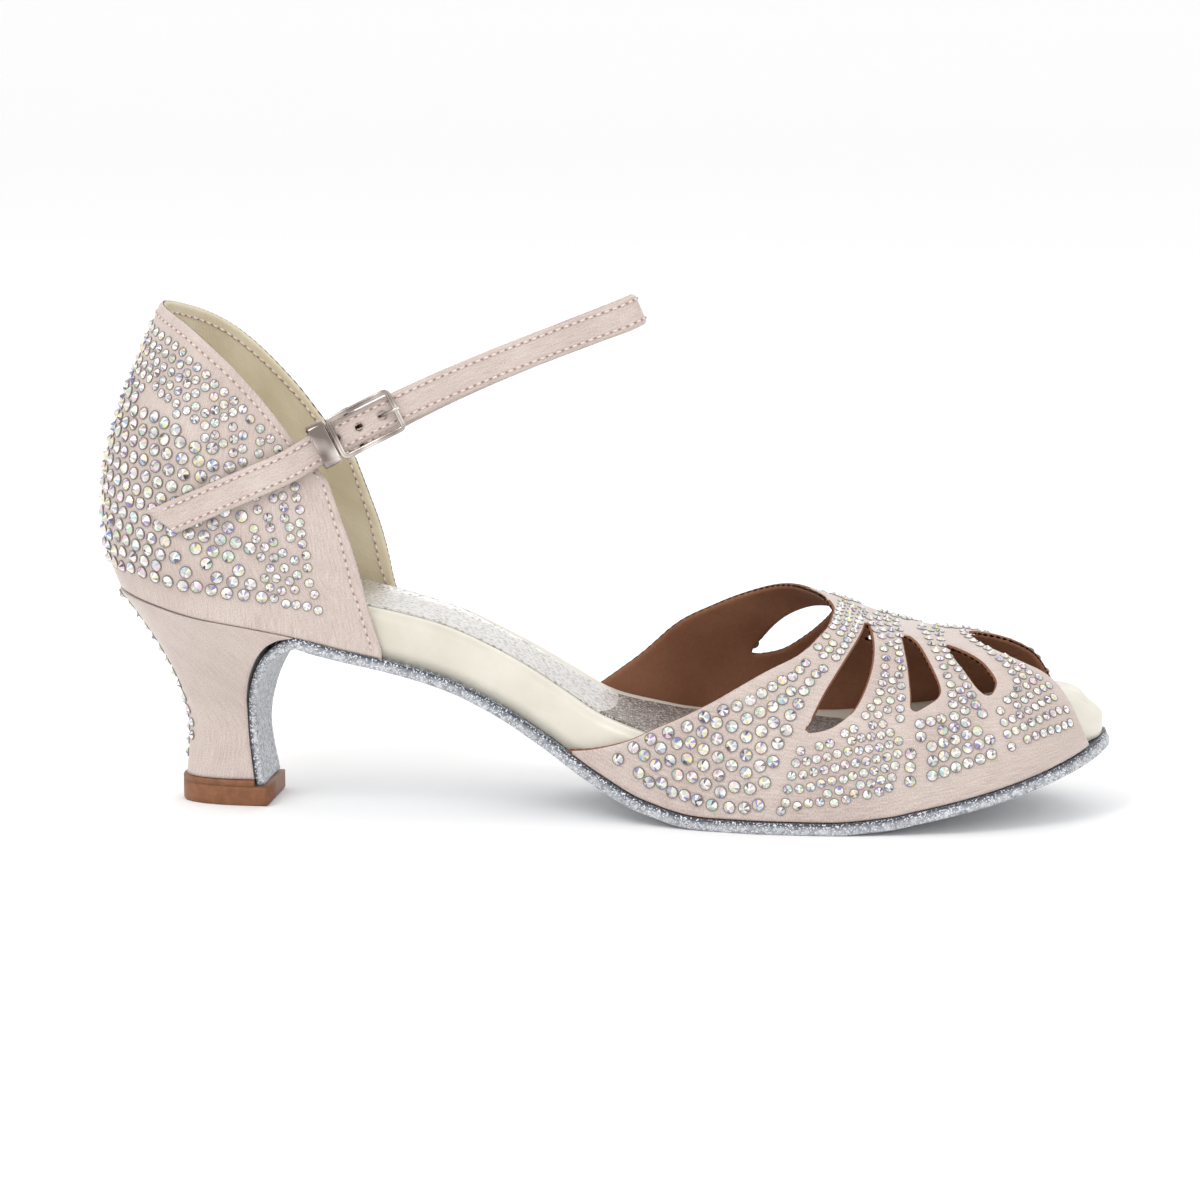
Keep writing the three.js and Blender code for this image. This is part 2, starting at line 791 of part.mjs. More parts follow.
function cutTool(outline) {
  const reach = 3 * UPPER_WALL;
  const curve = new THREE.SplineCurve([...outline, outline[0]].map(([a, b]) => new THREE.Vector2(a, b)));
  const points = curve.getSpacedPoints(20).slice(0, -1);
  const faces = THREE.ShapeUtils.triangulateShape(points, []);
  const count = points.length;
  const layer = (depth) => {
    return points.map((p) => {
      const share = shareAt(LENGTH * p.x);
      return vampAt(share, p.y).addScaledVector(normalOf(vampAt, share, p.y, 1), depth);
    });
  };
  const sides = points.flatMap((_, i) => {
    const j = (i + 1) % count;
    return quad(i, j, count + j, count + i);
  });
  const lid = faces.map(([a, b, c]) => [a + count, b + count, c + count]);
  const floor = faces.map(([a, b, c]) => [a, c, b]);
  const turned = THREE.ShapeUtils.isClockWise(points);
  const ring = turned ? sides.map(([a, b, c]) => [a, c, b]) : sides;
  return solid([...layer(-reach), ...layer(reach)], [...floor, ...lid, ...ring]);
}

function vamp() {
  const face = { at: vampAt, shares: vampShares };
  const girths = even(34, -1, 1).map((g) => clamp(g, -0.999, 0.999));
  const shell = wall(face, even(18, 0, 1), girths, 1);
  return cut(shell, Object.values(CUTS).map(cutTool));
}

// The quarter's turn over a place along its foot.
function seatTurn(x) {
  return clamp(x / (BACK_HEIGHT * QUARTER_FOOT), 0, 1) ** (1 / TURN_POWER);
}

// Heel: lofted from its foot to the seat, with a round back and a flat breast.
function heel() {
  const low = TOP_PIECE_HEIGHT + GAP;
  const front = breastTop() - GAP;
  const levels = [0, 0.1, 0.2, 0.3, 0.4, 0.5, 0.6, 0.7, 0.8, 0.9, 0.96, 1];
  const angles = even(24, -Math.PI / 2, Math.PI / 2);
  const rings = levels.map((up) => {
    const seatShare = HEEL.seat(up);
    const chestZ = lerp(low, feather(front), up);
    const chest = up === 1 ? front : Math.min(front, breastAt(chestZ) - GAP);
    const back = BREAST_PLACE * HEEL.back(up);
    return angles.map((angle) => {
      const side = angle < 0 ? -1 : 1;
      const deep = Math.max(0, Math.cos(angle)) ** 0.87;
      const wide = Math.abs(Math.sin(angle)) ** 0.8;
      const plainX = lerp(chest, back, deep);
      const plain = (HEEL.width(up) * HEEL_BASE_WIDTH * wide) / 2;
      const seat = quarterAt(side * seatTurn(front * (1 - deep)), 0);
      const x = Math.min(chest, lerp(plainX, seat.x, seatShare));
      const y = side * lerp(plain, Math.abs(seat.y), seatShare);
      return new THREE.Vector3(x, y, lerp(low, feather(Math.max(0, x)), up));
    });
  });
  return loft(rings, true);
}

// Top piece: the rubber under the heel, with a notch for the flap's end.
function topPiece() {
  const back = BREAST_PLACE * HEEL.back(0) - TOP_PIECE_MARGIN;
  const low = TOP_PIECE_HEIGHT - TOP_PIECE_NOTCH;
  const notch = breastAt(low) - GAP;
  const front = notch + GAP + FLAP_THICK + TOP_PIECE_MARGIN;
  const half = HEEL_BASE_WIDTH / 2 + TOP_PIECE_MARGIN;
  const angles = even(24, -Math.PI / 2, Math.PI / 2);
  const ring = (z, chest, shrink) => {
    return angles.map((angle) => {
      const deep = Math.max(0, Math.cos(angle)) ** 0.87;
      const wide = Math.sign(angle) * Math.abs(Math.sin(angle)) ** 0.8;
      const x = Math.min(chest, lerp(front, back + shrink, deep));
      return new THREE.Vector3(x, wide * (half - shrink), z);
    });
  };
  const rings = [ring(0, front, 0.4), ring(0.5, front, 0), ring(low, front, 0)];
  rings.push(ring(low, notch, 0), ring(TOP_PIECE_HEIGHT, notch, 0.2));
  return loft(rings, true);
}

// The strap's path: from the tail on the outer side, over the fold, to its sewn end inside.
const climb = THREE.MathUtils.degToRad(STRAP_ANGLE);
const ALONG = new THREE.Vector3(Math.cos(climb), 0, Math.sin(climb));
const ACROSS = new THREE.Vector3(-Math.sin(climb), 0, Math.cos(climb));
const TAIL = new THREE.Vector3(TAIL_PLACE, 0, SOLE_THICK + SEAT_RISE - SEAT_DROP + TAIL_HEIGHT);

function onQuarter(run, fall, side) {
  const p = TAIL.clone().addScaledVector(ALONG, run).addScaledVector(ACROSS, -fall);
  return quarterWidth(p.x, p.z, side) + STONE_RISE + STRAP_THICK / 2;
}

function strapPoint(run, side) {
  const full = side < 0 ? 0 : STRAP_FALL;
  const last = STRAP_RUN - FOLD_RADIUS;
  const held = onQuarter(Math.min(run, FREE_FROM), full, side);
  const share = clamp((run - FREE_FROM) / (last - FREE_FROM), 0, 1);
  const fall = full * (1 - share) - STRAP_BOW * Math.sin(Math.PI * share ** 0.8);
  const out = lerp(FOLD_RADIUS, held, (REACH.out(share) - REACH.out(1)) / (1 - REACH.out(1)));
  const point = TAIL.clone().addScaledVector(ALONG, run).addScaledVector(ACROSS, -fall);
  point.y = side * out;
  return point;
}

function strapCurve() {
  const runs = STRAP_STATIONS.map((share) => share * (STRAP_RUN - FOLD_RADIUS));
  const outer = runs.map((run) => strapPoint(run, -1));
  const inner = runs.filter((run) => run >= INNER_END).map((run) => strapPoint(run, 1));
  const fold = [-45, 0, 45].map((degrees) => {
    const angle = THREE.MathUtils.degToRad(degrees);
    const run = STRAP_RUN - FOLD_RADIUS + FOLD_RADIUS * Math.cos(angle);
    const point = TAIL.clone().addScaledVector(ALONG, run);
    point.y = FOLD_RADIUS * Math.sin(angle);
    return point;
  });
  return new THREE.CatmullRomCurve3([...outer, ...fold, ...inner.reverse()], false, "centripetal");
}

function strapRing(point, run, slant) {
  const normal = new THREE.Vector3().crossVectors(run, ACROSS).normalize();
  const half = STRAP_WIDTH / 2;
  const soft = 0.5;
  const corners = [
    [-half + soft, -1],
    [half - soft, -1],
    [half, -0.4],
    [half, 0.4],
    [half - soft, 1],
    [-half + soft, 1],
    [-half, 0.4],
    [-half, -0.4],
  ];
  return corners.map(([across, thick]) => {
    return point
      .clone()
      .addScaledVector(ACROSS, across)
      .addScaledVector(normal, (thick * STRAP_THICK) / 2)
      .addScaledVector(run, (slant * across) / half);
  });
}

// Buckle pieces are drawn in a frame of their own: x along the strap, y across it, z outwards.
function buckleGroup(curve) {
  const t = BUCKLE_PLACE / curve.getLength();
  const run = curve.getTangentAt(t);
  const across = ACROSS.clone().addScaledVector(run, -ACROSS.dot(run)).normalize();
  const out = new THREE.Vector3().crossVectors(run, across).normalize();
  const group = new THREE.Group();
  group.quaternion.setFromRotationMatrix(new THREE.Matrix4().makeBasis(run, across, out));
  group.position.copy(curve.getPointAt(t));
  shoe.add(group);
  return group;
}

const OVER = STRAP_THICK / 2 + GAP; // the strap's outer face with its clearance
const HINGE_DEPTH = -(OVER + HINGE_RADIUS + TAB_THICK + GAP);
const PRONG_HOLE = BUCKLE_LENGTH / 2 - 4;

function box(sizeX, sizeY, sizeZ, x, y, z) {
  return new THREE.BoxGeometry(sizeX, sizeY, sizeZ).translate(x, y, z);
}

function rod(radius, points, sides) {
  const shape = new THREE.Shape();
  even(sides, 0, 2 * Math.PI)
    .slice(0, -1)
    .forEach((angle, i) => {
      const x = radius * Math.cos(angle);
      const y = radius * Math.sin(angle);
      if (i === 0) shape.moveTo(x, y);
      else shape.lineTo(x, y);
    });
  const path = new THREE.CatmullRomCurve3(points, false, "centripetal");
  return new THREE.ExtrudeGeometry(shape, { steps: points.length * 2, extrudePath: path });
}

function roundedRing(length, width, barX, barY, corner) {
  const draw = (target, halfX, halfY, r) => {
    target.moveTo(-halfX + r, -halfY);
    target.lineTo(halfX - r, -halfY);
    target.absarc(halfX - r, -halfY + r, r, -Math.PI / 2, 0, false);
    target.absarc(halfX - r, halfY - r, r, 0, Math.PI / 2, false);
    target.absarc(-halfX + r, halfY - r, r, Math.PI / 2, Math.PI, false);
    target.absarc(-halfX + r, -halfY + r, r, Math.PI, 1.5 * Math.PI, false);
    return target;
  };
  const shape = draw(new THREE.Shape(), length / 2, width / 2, corner);
  shape.holes.push(draw(new THREE.Path(), length / 2 - barX, width / 2 - barY, corner / 2));
  return shape;
}

function buckle() {
  const ring = new THREE.ExtrudeGeometry(roundedRing(BUCKLE_LENGTH, BUCKLE_WIDTH, BAR_END, BAR, 1), {
    depth: BAR,
    bevelEnabled: false,
    curveSegments: 3,
  }).translate(0, 0, OVER);
  const lugHeight = OVER - HINGE_DEPTH + HINGE_RADIUS;
  const lugZ = OVER + 0.2 - lugHeight / 2;
  const lugY = BUCKLE_WIDTH / 2 - BAR / 2;
  const lugs = [-1, 1].map((hand) => box(2.2, BAR, lugHeight, -HINGE_BACK, hand * lugY, lugZ));
  const hinge = new THREE.CylinderGeometry(HINGE_RADIUS, HINGE_RADIUS, BUCKLE_WIDTH - BAR, 10);
  hinge.translate(-HINGE_BACK, 0, HINGE_DEPTH);
  return join([ring, ...lugs, hinge]);
}

function prong() {
  const turn = HINGE_RADIUS + GAP + PRONG_RADIUS;
  const points = [-200, -150, -100, -50, 0].map((degrees) => {
    const angle = THREE.MathUtils.degToRad(degrees);
    const x = -HINGE_BACK + turn * Math.cos(angle);
    return new THREE.Vector3(x, 0, HINGE_DEPTH + turn * Math.sin(angle));
  });
  const top = OVER + BAR + GAP + PRONG_RADIUS;
  points.push(new THREE.Vector3(PRONG_HOLE - 1, 0, -OVER - PRONG_RADIUS));
  points.push(new THREE.Vector3(PRONG_HOLE, 0, 0));
  points.push(new THREE.Vector3(PRONG_HOLE + 0.6, 0, OVER + PRONG_RADIUS));
  points.push(new THREE.Vector3(BUCKLE_LENGTH / 2 - BAR_END / 2, 0, top));
  points.push(new THREE.Vector3(BUCKLE_LENGTH / 2 + 0.4, 0, top - 0.1));
  return rod(PRONG_RADIUS, points, 6);
}

// Keeper: a flat metal loop round the strap, behind the buckle.
function keeper() {
  const inside = HINGE_DEPTH - TAB_THICK;
  const depth = OVER - inside + 2 * KEEPER_WALL;
  const middle = (OVER + inside) / 2;
  const shape = roundedRing(depth, BUCKLE_WIDTH, KEEPER_WALL, BAR, 0.6);
  const loop = new THREE.ExtrudeGeometry(shape, {
    depth: KEEPER_LENGTH,
    bevelEnabled: false,
    curveSegments: 3,
  });
  loop.rotateY(-Math.PI / 2);
  const place = -BUCKLE_LENGTH / 2 - GAP;
  return loop.translate(place, 0, middle);
}

// Tab: the short strip from the quarter's corner, whose end wraps the hinge bar.
function tab() {
  const ring = HINGE_RADIUS + GAP;
  const outside = ring + TAB_THICK;
  const profile = new THREE.Shape();
  const reach = BUCKLE_LENGTH / 2 + GAP + KEEPER_LENGTH + 1.5 - HINGE_BACK;
  profile.moveTo(-reach, -TAB_THICK / 2);
  profile.lineTo(-outside, -TAB_THICK / 2);
  profile.absarc(0, 0, outside, Math.PI + 0.4, 3 * Math.PI - 0.4, false);
  profile.lineTo(-outside, TAB_THICK / 2);
  profile.lineTo(-reach, TAB_THICK / 2);
  const bore = new THREE.Path();
  bore.absarc(0, 0, ring, 0, 2 * Math.PI, true);
  profile.holes.push(bore);
  const width = BUCKLE_WIDTH - 2 * BAR - 2 * GAP;
  const strip = new THREE.ExtrudeGeometry(profile, {
    depth: width,
    bevelEnabled: false,
    curveSegments: 10,
  });
  strip.rotateX(Math.PI / 2).translate(-HINGE_BACK, width / 2, HINGE_DEPTH);
  const room = PRONG_RADIUS + GAP;
  const slot = box(outside * 2 + 1, room * 2, outside * 2 + 1, -HINGE_BACK + 0.6, 0, HINGE_DEPTH);
  return cut(strip, [slot]);
}

function strapSolid(curve) {
  const steps = 60;
  const rings = even(steps, 0, 1).map((t) => {
    const slant = t === 0 ? TAIL_BEVEL : 0;
    return strapRing(curve.getPointAt(t), curve.getTangentAt(t), slant);
  });
  return loft(rings, false);
}

function strapHoles(group) {
  group.updateMatrix();
  return [0, 1, 2].map((k) => {
    const hole = new THREE.CylinderGeometry(HOLE_RADIUS, HOLE_RADIUS, STRAP_THICK * 4, 12);
    hole.rotateX(Math.PI / 2).translate(PRONG_HOLE - k * HOLE_PITCH, 0, 0);
    return hole.applyMatrix4(group.matrix);
  });
}

addPiece("outsole", outsole(), SUEDE);
addPiece("footbed", footbed(), CREAM);
addPiece("sock", sock(), SILVER);
addPiece("quarter", quarter(), SATIN);
addPiece("vamp", vamp(), SATIN);
addPiece("heel", heel(), SATIN);
addPiece("top_piece", topPiece(), RUBBER);
const strapRoute = strapCurve();
const fastener = buckleGroup(strapRoute);
addPiece("strap", cut(strapSolid(strapRoute), strapHoles(fastener)), SATIN);
addPiece("buckle_frame", buckle(), NICKEL, fastener);
addPiece("buckle_prong", prong(), NICKEL, fastener);
addPiece("buckle_keeper", keeper(), NICKEL, fastener);
addPiece("buckle_tab", tab(), SATIN, fastener);

// The model's origin: the middle of its plan, on the floor.
const bounds = new THREE.Box3().setFromObject(shoe, true);
const centre = bounds.getCenter(new THREE.Vector3());
shoe.position.set(-centre.x, -centre.y, -bounds.min.z);

export default shoe;
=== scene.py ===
"""The looks of a right ballroom dance shoe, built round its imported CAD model.

Shapes are worked out in millimetres, x from the back of the seat to the toe, y to the inner side of
the foot and z up from the floor, with the same sizes and tables as the part's source. They are
moved to the model's own origin when a mesh is made.
"""

import math

import bmesh
import bpy
import numpy as np
from mathutils import Matrix, Vector
from mathutils.geometry import delaunay_2d_cdt


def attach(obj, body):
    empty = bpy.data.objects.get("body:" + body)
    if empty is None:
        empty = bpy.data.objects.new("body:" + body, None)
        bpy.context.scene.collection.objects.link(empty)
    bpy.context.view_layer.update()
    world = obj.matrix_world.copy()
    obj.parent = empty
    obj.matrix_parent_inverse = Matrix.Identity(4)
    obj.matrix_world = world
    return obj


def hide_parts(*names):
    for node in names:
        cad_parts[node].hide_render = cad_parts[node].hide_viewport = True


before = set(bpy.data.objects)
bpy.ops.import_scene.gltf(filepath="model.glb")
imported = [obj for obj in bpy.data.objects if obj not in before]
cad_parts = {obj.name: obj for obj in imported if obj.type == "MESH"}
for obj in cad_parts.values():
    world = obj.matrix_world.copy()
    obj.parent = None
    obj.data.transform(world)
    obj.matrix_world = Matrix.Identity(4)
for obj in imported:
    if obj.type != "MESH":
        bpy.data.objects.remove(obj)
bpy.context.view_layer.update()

# The model's origin lies under the middle of the plan.
ORIGIN = np.array([118.317, 2.42, 0.0])

# Driving sizes of the last
LENGTH = 238.0
BALL_WIDTH = 72.0
SEAT_RISE = 49.5
TOE_SPRING = 16.0
VAMP_HEIGHT = 52.0
BACK_HEIGHT = 69.5
HEEL_ROUND = 0.11
TOE_ROUND = 0.2
PLAN_POWER = 2.2

# Driving sizes of the pieces
SOLE_THICK = 2.8
FLAP_THICK = 2.0
UPPER_WALL = 1.6
SOLE_MARGIN = 0.4
GAP = 0.3
VAMP_BULGE = 1.2
FOOTBED_LEAN = 0.9
TOE_LEAN = 3.4
FOOTBED_ROUND = 3.0
FOOTBED_DISH = 0.8
FOOTBED_EASE = 0.8
SOCK_THICK = 0.9
SOCK_MARGIN = 0.9
SOCK_FRONT_MARGIN = 3.6
TOP_PIECE_HEIGHT = 6.1
TOP_PIECE_NOTCH = 1.4
TOP_PIECE_MARGIN = 0.9
HEEL_BASE_WIDTH = 21.4
BREAST_PLACE = 33.8
BREAST_SWEEP = 14.0
BREAST_LEAD = 4.0
STONE_RISE = 1.1
STRAP_WIDTH = 7.6
STRAP_THICK = 1.8
STRAP_RUN = 120.0
STRAP_ANGLE = 23.6
STRAP_FALL = 3.4
STRAP_BOW = 2.2
TAIL_PLACE = BACK_HEIGHT * 0.2446
TAIL_HEIGHT = BACK_HEIGHT * 0.2849
TAIL_BEVEL = -2.4
FOLD_RADIUS = 3.4
INNER_END = BACK_HEIGHT * 0.46
FREE_FROM = BACK_HEIGHT * 0.489
HOLE_RADIUS = 1.0
HOLE_PITCH = 6.0
BUCKLE_LENGTH = 16.8
BUCKLE_WIDTH = 10.8
BUCKLE_PLACE = BACK_HEIGHT * 0.774
BAR = 1.2
BAR_END = 1.5
PRONG_RADIUS = 0.45
HINGE_RADIUS = 0.6
HINGE_BACK = 2.6
KEEPER_WALL = 0.8
TAB_THICK = 1.2
OUTER_POWER = 2.35
INNER_POWER = 2.5
CROWN_SHIFT = 0.045
TOE_DROP = 0.93
TOE_REACH = 0.082
TURN_POWER = 1.8
QUARTER_FOOT = 0.983
SEAT_DROP = 1.1


# The camera stands where the photograph was taken from.
def add_camera():
    data = bpy.data.cameras.new("camera")
    data.lens = 140.76
    data.sensor_width = 36
    data.clip_end = 20
    camera = bpy.data.objects.new("camera", data)
    bpy.context.scene.collection.objects.link(camera)
    place = (Vector((246.6, -1100, 224.5)) - Vector(ORIGIN)) / 1000
    target = (Vector((117.6, 0, 49.4)) - Vector(ORIGIN)) / 1000
    look = (target - place).to_track_quat("-Z", "Y").to_matrix().to_4x4()
    camera.matrix_world = Matrix.Translation(place) @ look @ Matrix.Rotation(-0.006, 4, "Z")
    bpy.context.scene.camera = camera


add_camera()


# Tables: the first column is the place, each other column a smooth function of it.
def smooth(places, values):
    """A monotone cubic through the values, held flat past its ends."""
    p, v = np.array(places, float), np.array(values, float)
    rise = np.diff(v) / np.diff(p)
    slope = np.empty(len(p))
    slope[0], slope[-1] = rise[0], rise[-1]
    both = rise[:-1] * rise[1:]
    total = rise[:-1] + rise[1:]
    slope[1:-1] = np.where(both <= 0, 0, 2 * both / np.where(both <= 0, 1, total))

    def at(x):
        x = np.clip(x, p[0], p[-1])
        i = np.clip(np.searchsorted(p, x, side="right") - 1, 0, len(p) - 2)
        span = p[i + 1] - p[i]
        t = (x - p[i]) / span
        a = v[i] * (1 + 2 * t) * (1 - t) ** 2 + span * slope[i] * t * (1 - t) ** 2
        b = v[i + 1] * t * t * (3 - 2 * t) + span * slope[i + 1] * t * t * (t - 1)
        return a + b

    return at


def table(columns, rows):
    grid = np.array(rows, float)
    return {name: smooth(grid[:, 0], grid[:, k + 1]) for k, name in enumerate(columns[1:])}


RISE = table(
    ["along", "seat", "toe"],
    [
        [0.0, 1.0, 0], [0.05, 0.955, 0], [0.1, 0.905, 0], [0.15, 0.863, 0], [0.2, 0.816, 0],
        [0.25, 0.754, 0], [0.3, 0.695, 0], [0.35, 0.618, 0], [0.4, 0.5, 0], [0.45, 0.347, 0],
        [0.5, 0.18, 0], [0.55, 0.06, 0], [0.6, 0.004, 0], [0.62, 0, 0], [0.73, 0, 0],
        [0.79, 0, 0.075], [0.82, 0, 0.17], [0.86, 0, 0.3], [0.9, 0, 0.45], [0.94, 0, 0.625],
        [0.98, 0, 0.845], [1.0, 0, 1.0],
    ],
)
PLAN = table(
    ["along", "middle", "outer", "inner"],
    [
        [0.0, 0.0, 0.29, 0.29], [0.11, 0.0, 0.355, 0.355], [0.2, 0.0, 0.345, 0.335],
        [0.3, 0.0, 0.31, 0.275], [0.4, 0.003, 0.288, 0.25], [0.48, 0.006, 0.315, 0.285],
        [0.55, 0.012, 0.39, 0.385], [0.62, 0.018, 0.462, 0.478], [0.68, 0.022, 0.5, 0.522],
        [0.74, 0.026, 0.508, 0.522], [0.8, 0.033, 0.495, 0.5], [0.88, 0.05, 0.485, 0.46],
        [0.94, 0.065, 0.47, 0.43], [1.0, 0.085, 0.45, 0.41],
    ],
)
CROWN = table(
    ["along", "height"],
    [
        [0.45, 1.17], [0.55, 1.14], [0.63, 1.08], [0.68, 1.025], [0.73, 0.95], [0.755, 0.912],
        [0.79, 0.858], [0.83, 0.82], [0.87, 0.796], [0.9, 0.777], [0.93, 0.742], [0.96, 0.685],
        [1.0, 0.58],
    ],
)
THROAT = table(
    ["girth", "along"],
    [
        [-1.0, 0.47], [-0.96, 0.492], [-0.88, 0.531], [-0.82, 0.558], [-0.76, 0.588],
        [-0.68, 0.626], [-0.58, 0.664], [-0.46, 0.702], [-0.36, 0.717], [-0.24, 0.728],
        [-0.12, 0.73], [0.0, 0.72], [0.13, 0.692], [0.33, 0.648], [0.47, 0.605], [0.59, 0.563],
        [0.74, 0.524], [0.88, 0.485], [1.0, 0.455],
    ],
)
PEEP = table(
    ["girth", "along"],
    [
        [-1.0, 0.988], [-0.94, 0.986], [-0.74, 0.979], [-0.53, 0.968], [-0.39, 0.955],
        [-0.33, 0.943], [-0.26, 0.917], [-0.2, 0.897], [-0.13, 0.879], [-0.05, 0.866],
        [0.03, 0.864], [0.12, 0.874], [0.2, 0.893], [0.28, 0.912], [0.37, 0.927], [0.6, 0.944],
        [0.8, 0.955], [1.0, 0.963],
    ],
)
CUTS = {
    "outer_large": [
        [0.764, -0.14], [0.771, -0.25], [0.773, -0.38], [0.77, -0.49], [0.763, -0.59],
        [0.754, -0.655], [0.74, -0.706], [0.726, -0.734], [0.712, -0.744], [0.718, -0.696],
        [0.727, -0.617], [0.743, -0.476], [0.755, -0.34], [0.761, -0.236],
    ],
    "outer_middle": [
        [0.8, -0.15], [0.813, -0.2], [0.827, -0.345], [0.838, -0.48], [0.8385, -0.54],
        [0.828, -0.585], [0.8145, -0.614], [0.812, -0.53], [0.808, -0.39], [0.803, -0.26],
    ],
    "outer_small": [
        [0.842, -0.19], [0.859, -0.228], [0.877, -0.305], [0.89, -0.41], [0.8935, -0.475],
        [0.888, -0.538], [0.877, -0.497], [0.864, -0.39], [0.853, -0.297],
    ],
    "inner_large": [
        [0.634, 0.69], [0.647, 0.615], [0.665, 0.522], [0.687, 0.425], [0.709, 0.33], [0.722, 0.3],
        [0.718, 0.4], [0.702, 0.523], [0.68, 0.623], [0.659, 0.675],
    ],
    "inner_middle": [
        [0.752, 0.51], [0.764, 0.45], [0.776, 0.36], [0.788, 0.27], [0.799, 0.215], [0.808, 0.2],
        [0.806, 0.29], [0.798, 0.38], [0.786, 0.46], [0.77, 0.505],
    ],
    "inner_small": [
        [0.824, 0.44], [0.835, 0.39], [0.846, 0.32], [0.857, 0.25], [0.867, 0.235], [0.868, 0.31],
        [0.861, 0.38], [0.85, 0.43], [0.837, 0.45],
    ],
}
QUARTER = table(
    ["height", "back", "front", "girth"],
    [
        [-0.16, 0.023, 0.983, 1.0], [0.0, 0.023, 0.935, 1.0], [0.09, -0.006, 0.915, 1.02],
        [0.19, -0.027, 0.888, 1.035], [0.29, -0.033, 0.853, 1.033], [0.4, -0.026, 0.814, 1.01],
        [0.5, -0.007, 0.78, 0.98], [0.6, 0.023, 0.74, 0.94], [0.7, 0.059, 0.7, 0.89],
        [0.81, 0.101, 0.65, 0.83], [0.92, 0.148, 0.6, 0.765], [1.0, 0.18, 0.55, 0.71],
    ],
)
TOPLINE = table(
    ["depth", "height"],
    [[0.0, 1.0], [0.17, 0.945], [0.39, 0.845], [0.63, 0.7], [0.82, 0.563], [1.0, 0.426]],
)
BED = table(
    ["along", "height"],
    [
        [0.0, 1.09], [0.05, 1.075], [0.1, 1.055], [0.15, 1.034], [0.2, 1.01], [0.25, 0.973],
        [0.27, 0.953], [0.3, 0.92], [0.345, 0.858], [0.385, 0.772], [0.425, 0.667], [0.465, 0.545],
        [0.5, 0.44], [0.54, 0.375], [0.575, 0.332], [0.63, 0.3], [0.71, 0.297], [0.8, 0.34],
        [0.88, 0.415], [0.93, 0.49], [0.96, 0.515], [0.975, 0.508], [0.99, 0.46], [1.0, 0.4],
    ],
)
BREAST = [
    [0.72, 0.965], [0.46, 0.9], [0.25, 0.8], [0.1, 0.68], [0.02, 0.55], [0.0, 0.42], [0.04, 0.28],
    [0.12, 0.12],
]
HEEL = table(
    ["up", "back", "width", "seat"],
    [
        [0.0, 0.495, 1.0, 0], [0.14, 0.512, 0.92, 0], [0.28, 0.522, 0.89, 0], [0.4, 0.5, 1.02, 0],
        [0.52, 0.46, 1.3, 0], [0.64, 0.398, 1.58, 0.02], [0.76, 0.32, 1.84, 0.08],
        [0.88, 0.225, 2.08, 0.25], [0.95, 0.155, 2.22, 0.5], [1.0, 0.05, 2.3, 1],
    ],
)
REACH = table(
    ["along", "out"],
    [
        [0.0, 1.0], [0.12, 0.97], [0.3, 0.83], [0.55, 0.56], [0.8, 0.29], [0.95, 0.155],
        [1.0, 0.13],
    ],
)
STRAP_STATIONS = [0, 0.07, 0.14, 0.21, 0.28, 0.34, 0.41, 0.48, 0.58, 0.68, 0.78, 0.88, 0.96, 1]


# Small helpers for arrays of numbers and points
def lerp(a, b, t):
    return a + (b - a) * t


def ease(x, low, high):
    t = np.clip((x - low) / (high - low), 0, 1)
    return t * t * (3 - 2 * t)


def unit(v):
    return v / np.maximum(np.linalg.norm(v, axis=-1, keepdims=True), 1e-12)


def points(x, y, z):
    return np.stack(np.broadcast_arrays(x, y, z), -1).astype(float)


# The last: the same functions as in the part's source
def feather(x):
    along = x / LENGTH
    return SOLE_THICK + SEAT_RISE * RISE["seat"](along) + TOE_SPRING * RISE["toe"](along)


def place(share):
    return LENGTH * (1 - np.cos(np.pi * share)) / 2


def share_at(x):
    return np.arccos(np.clip(1 - 2 * x / LENGTH, -1, 1)) / np.pi


def round_end(along):
    heel = np.clip(1 - along / HEEL_ROUND, 0, 1)
    toe = np.clip(1 - (1 - along) / TOE_ROUND, 0, 1)
    return np.maximum(0, 1 - np.maximum(heel, toe) ** PLAN_POWER) ** (1 / PLAN_POWER)


def edge(share, side):
    share, side = np.broadcast_arrays(np.asarray(share, float), np.asarray(side, float))
    hand = np.where((share < 0) | (share > 1), -side, side)
    x = place(np.where(share > 1, 2 - share, np.abs(share)))
    along = x / LENGTH
    half = np.where(hand < 0, PLAN["outer"](along), PLAN["inner"](along))
    y = BALL_WIDTH * (PLAN["middle"](along) + hand * half * round_end(along))
    return np.stack([x, y], -1)


def rim(share, side, inset):
    step = 1e-3
    run = unit(edge(share + step, side) - edge(share - step, side))
    out = np.stack([-run[..., 1], run[..., 0]], -1) * np.asarray(side, float)[..., None]
    return edge(share, side) - out * np.asarray(inset, float)[..., None]


def vamp_at(share, girth):
    side = np.where(girth < 0, -1.0, 1.0)
    x = place(share)
    along = x / LENGTH
    foot = rim(share, side, SOLE_MARGIN)
    drop = np.clip((along - TOE_DROP) / TOE_REACH, 0, 0.999)
    full = (1 - drop**PLAN_POWER) ** (1 / PLAN_POWER)
    low = feather(x)
    high = low + (VAMP_HEIGHT * CROWN["height"](along) - low) * full
    power = np.where(side < 0, OUTER_POWER, INNER_POWER)
    turn = (1 - np.abs(girth)) * np.pi / 2
    across = np.maximum(0, np.cos(turn)) ** (2 / power)
    up = np.maximum(0, np.sin(turn)) ** (2 / power)
    bulge = side * VAMP_BULGE * full * np.sin(np.pi * np.minimum(1, up / 0.75))
    ridge = BALL_WIDTH * (PLAN["middle"](along) + CROWN_SHIFT)
    return points(
        lerp(x, foot[..., 0], across),
        lerp(ridge, foot[..., 1], across) + bulge,
        lerp(low, high, up),
    )


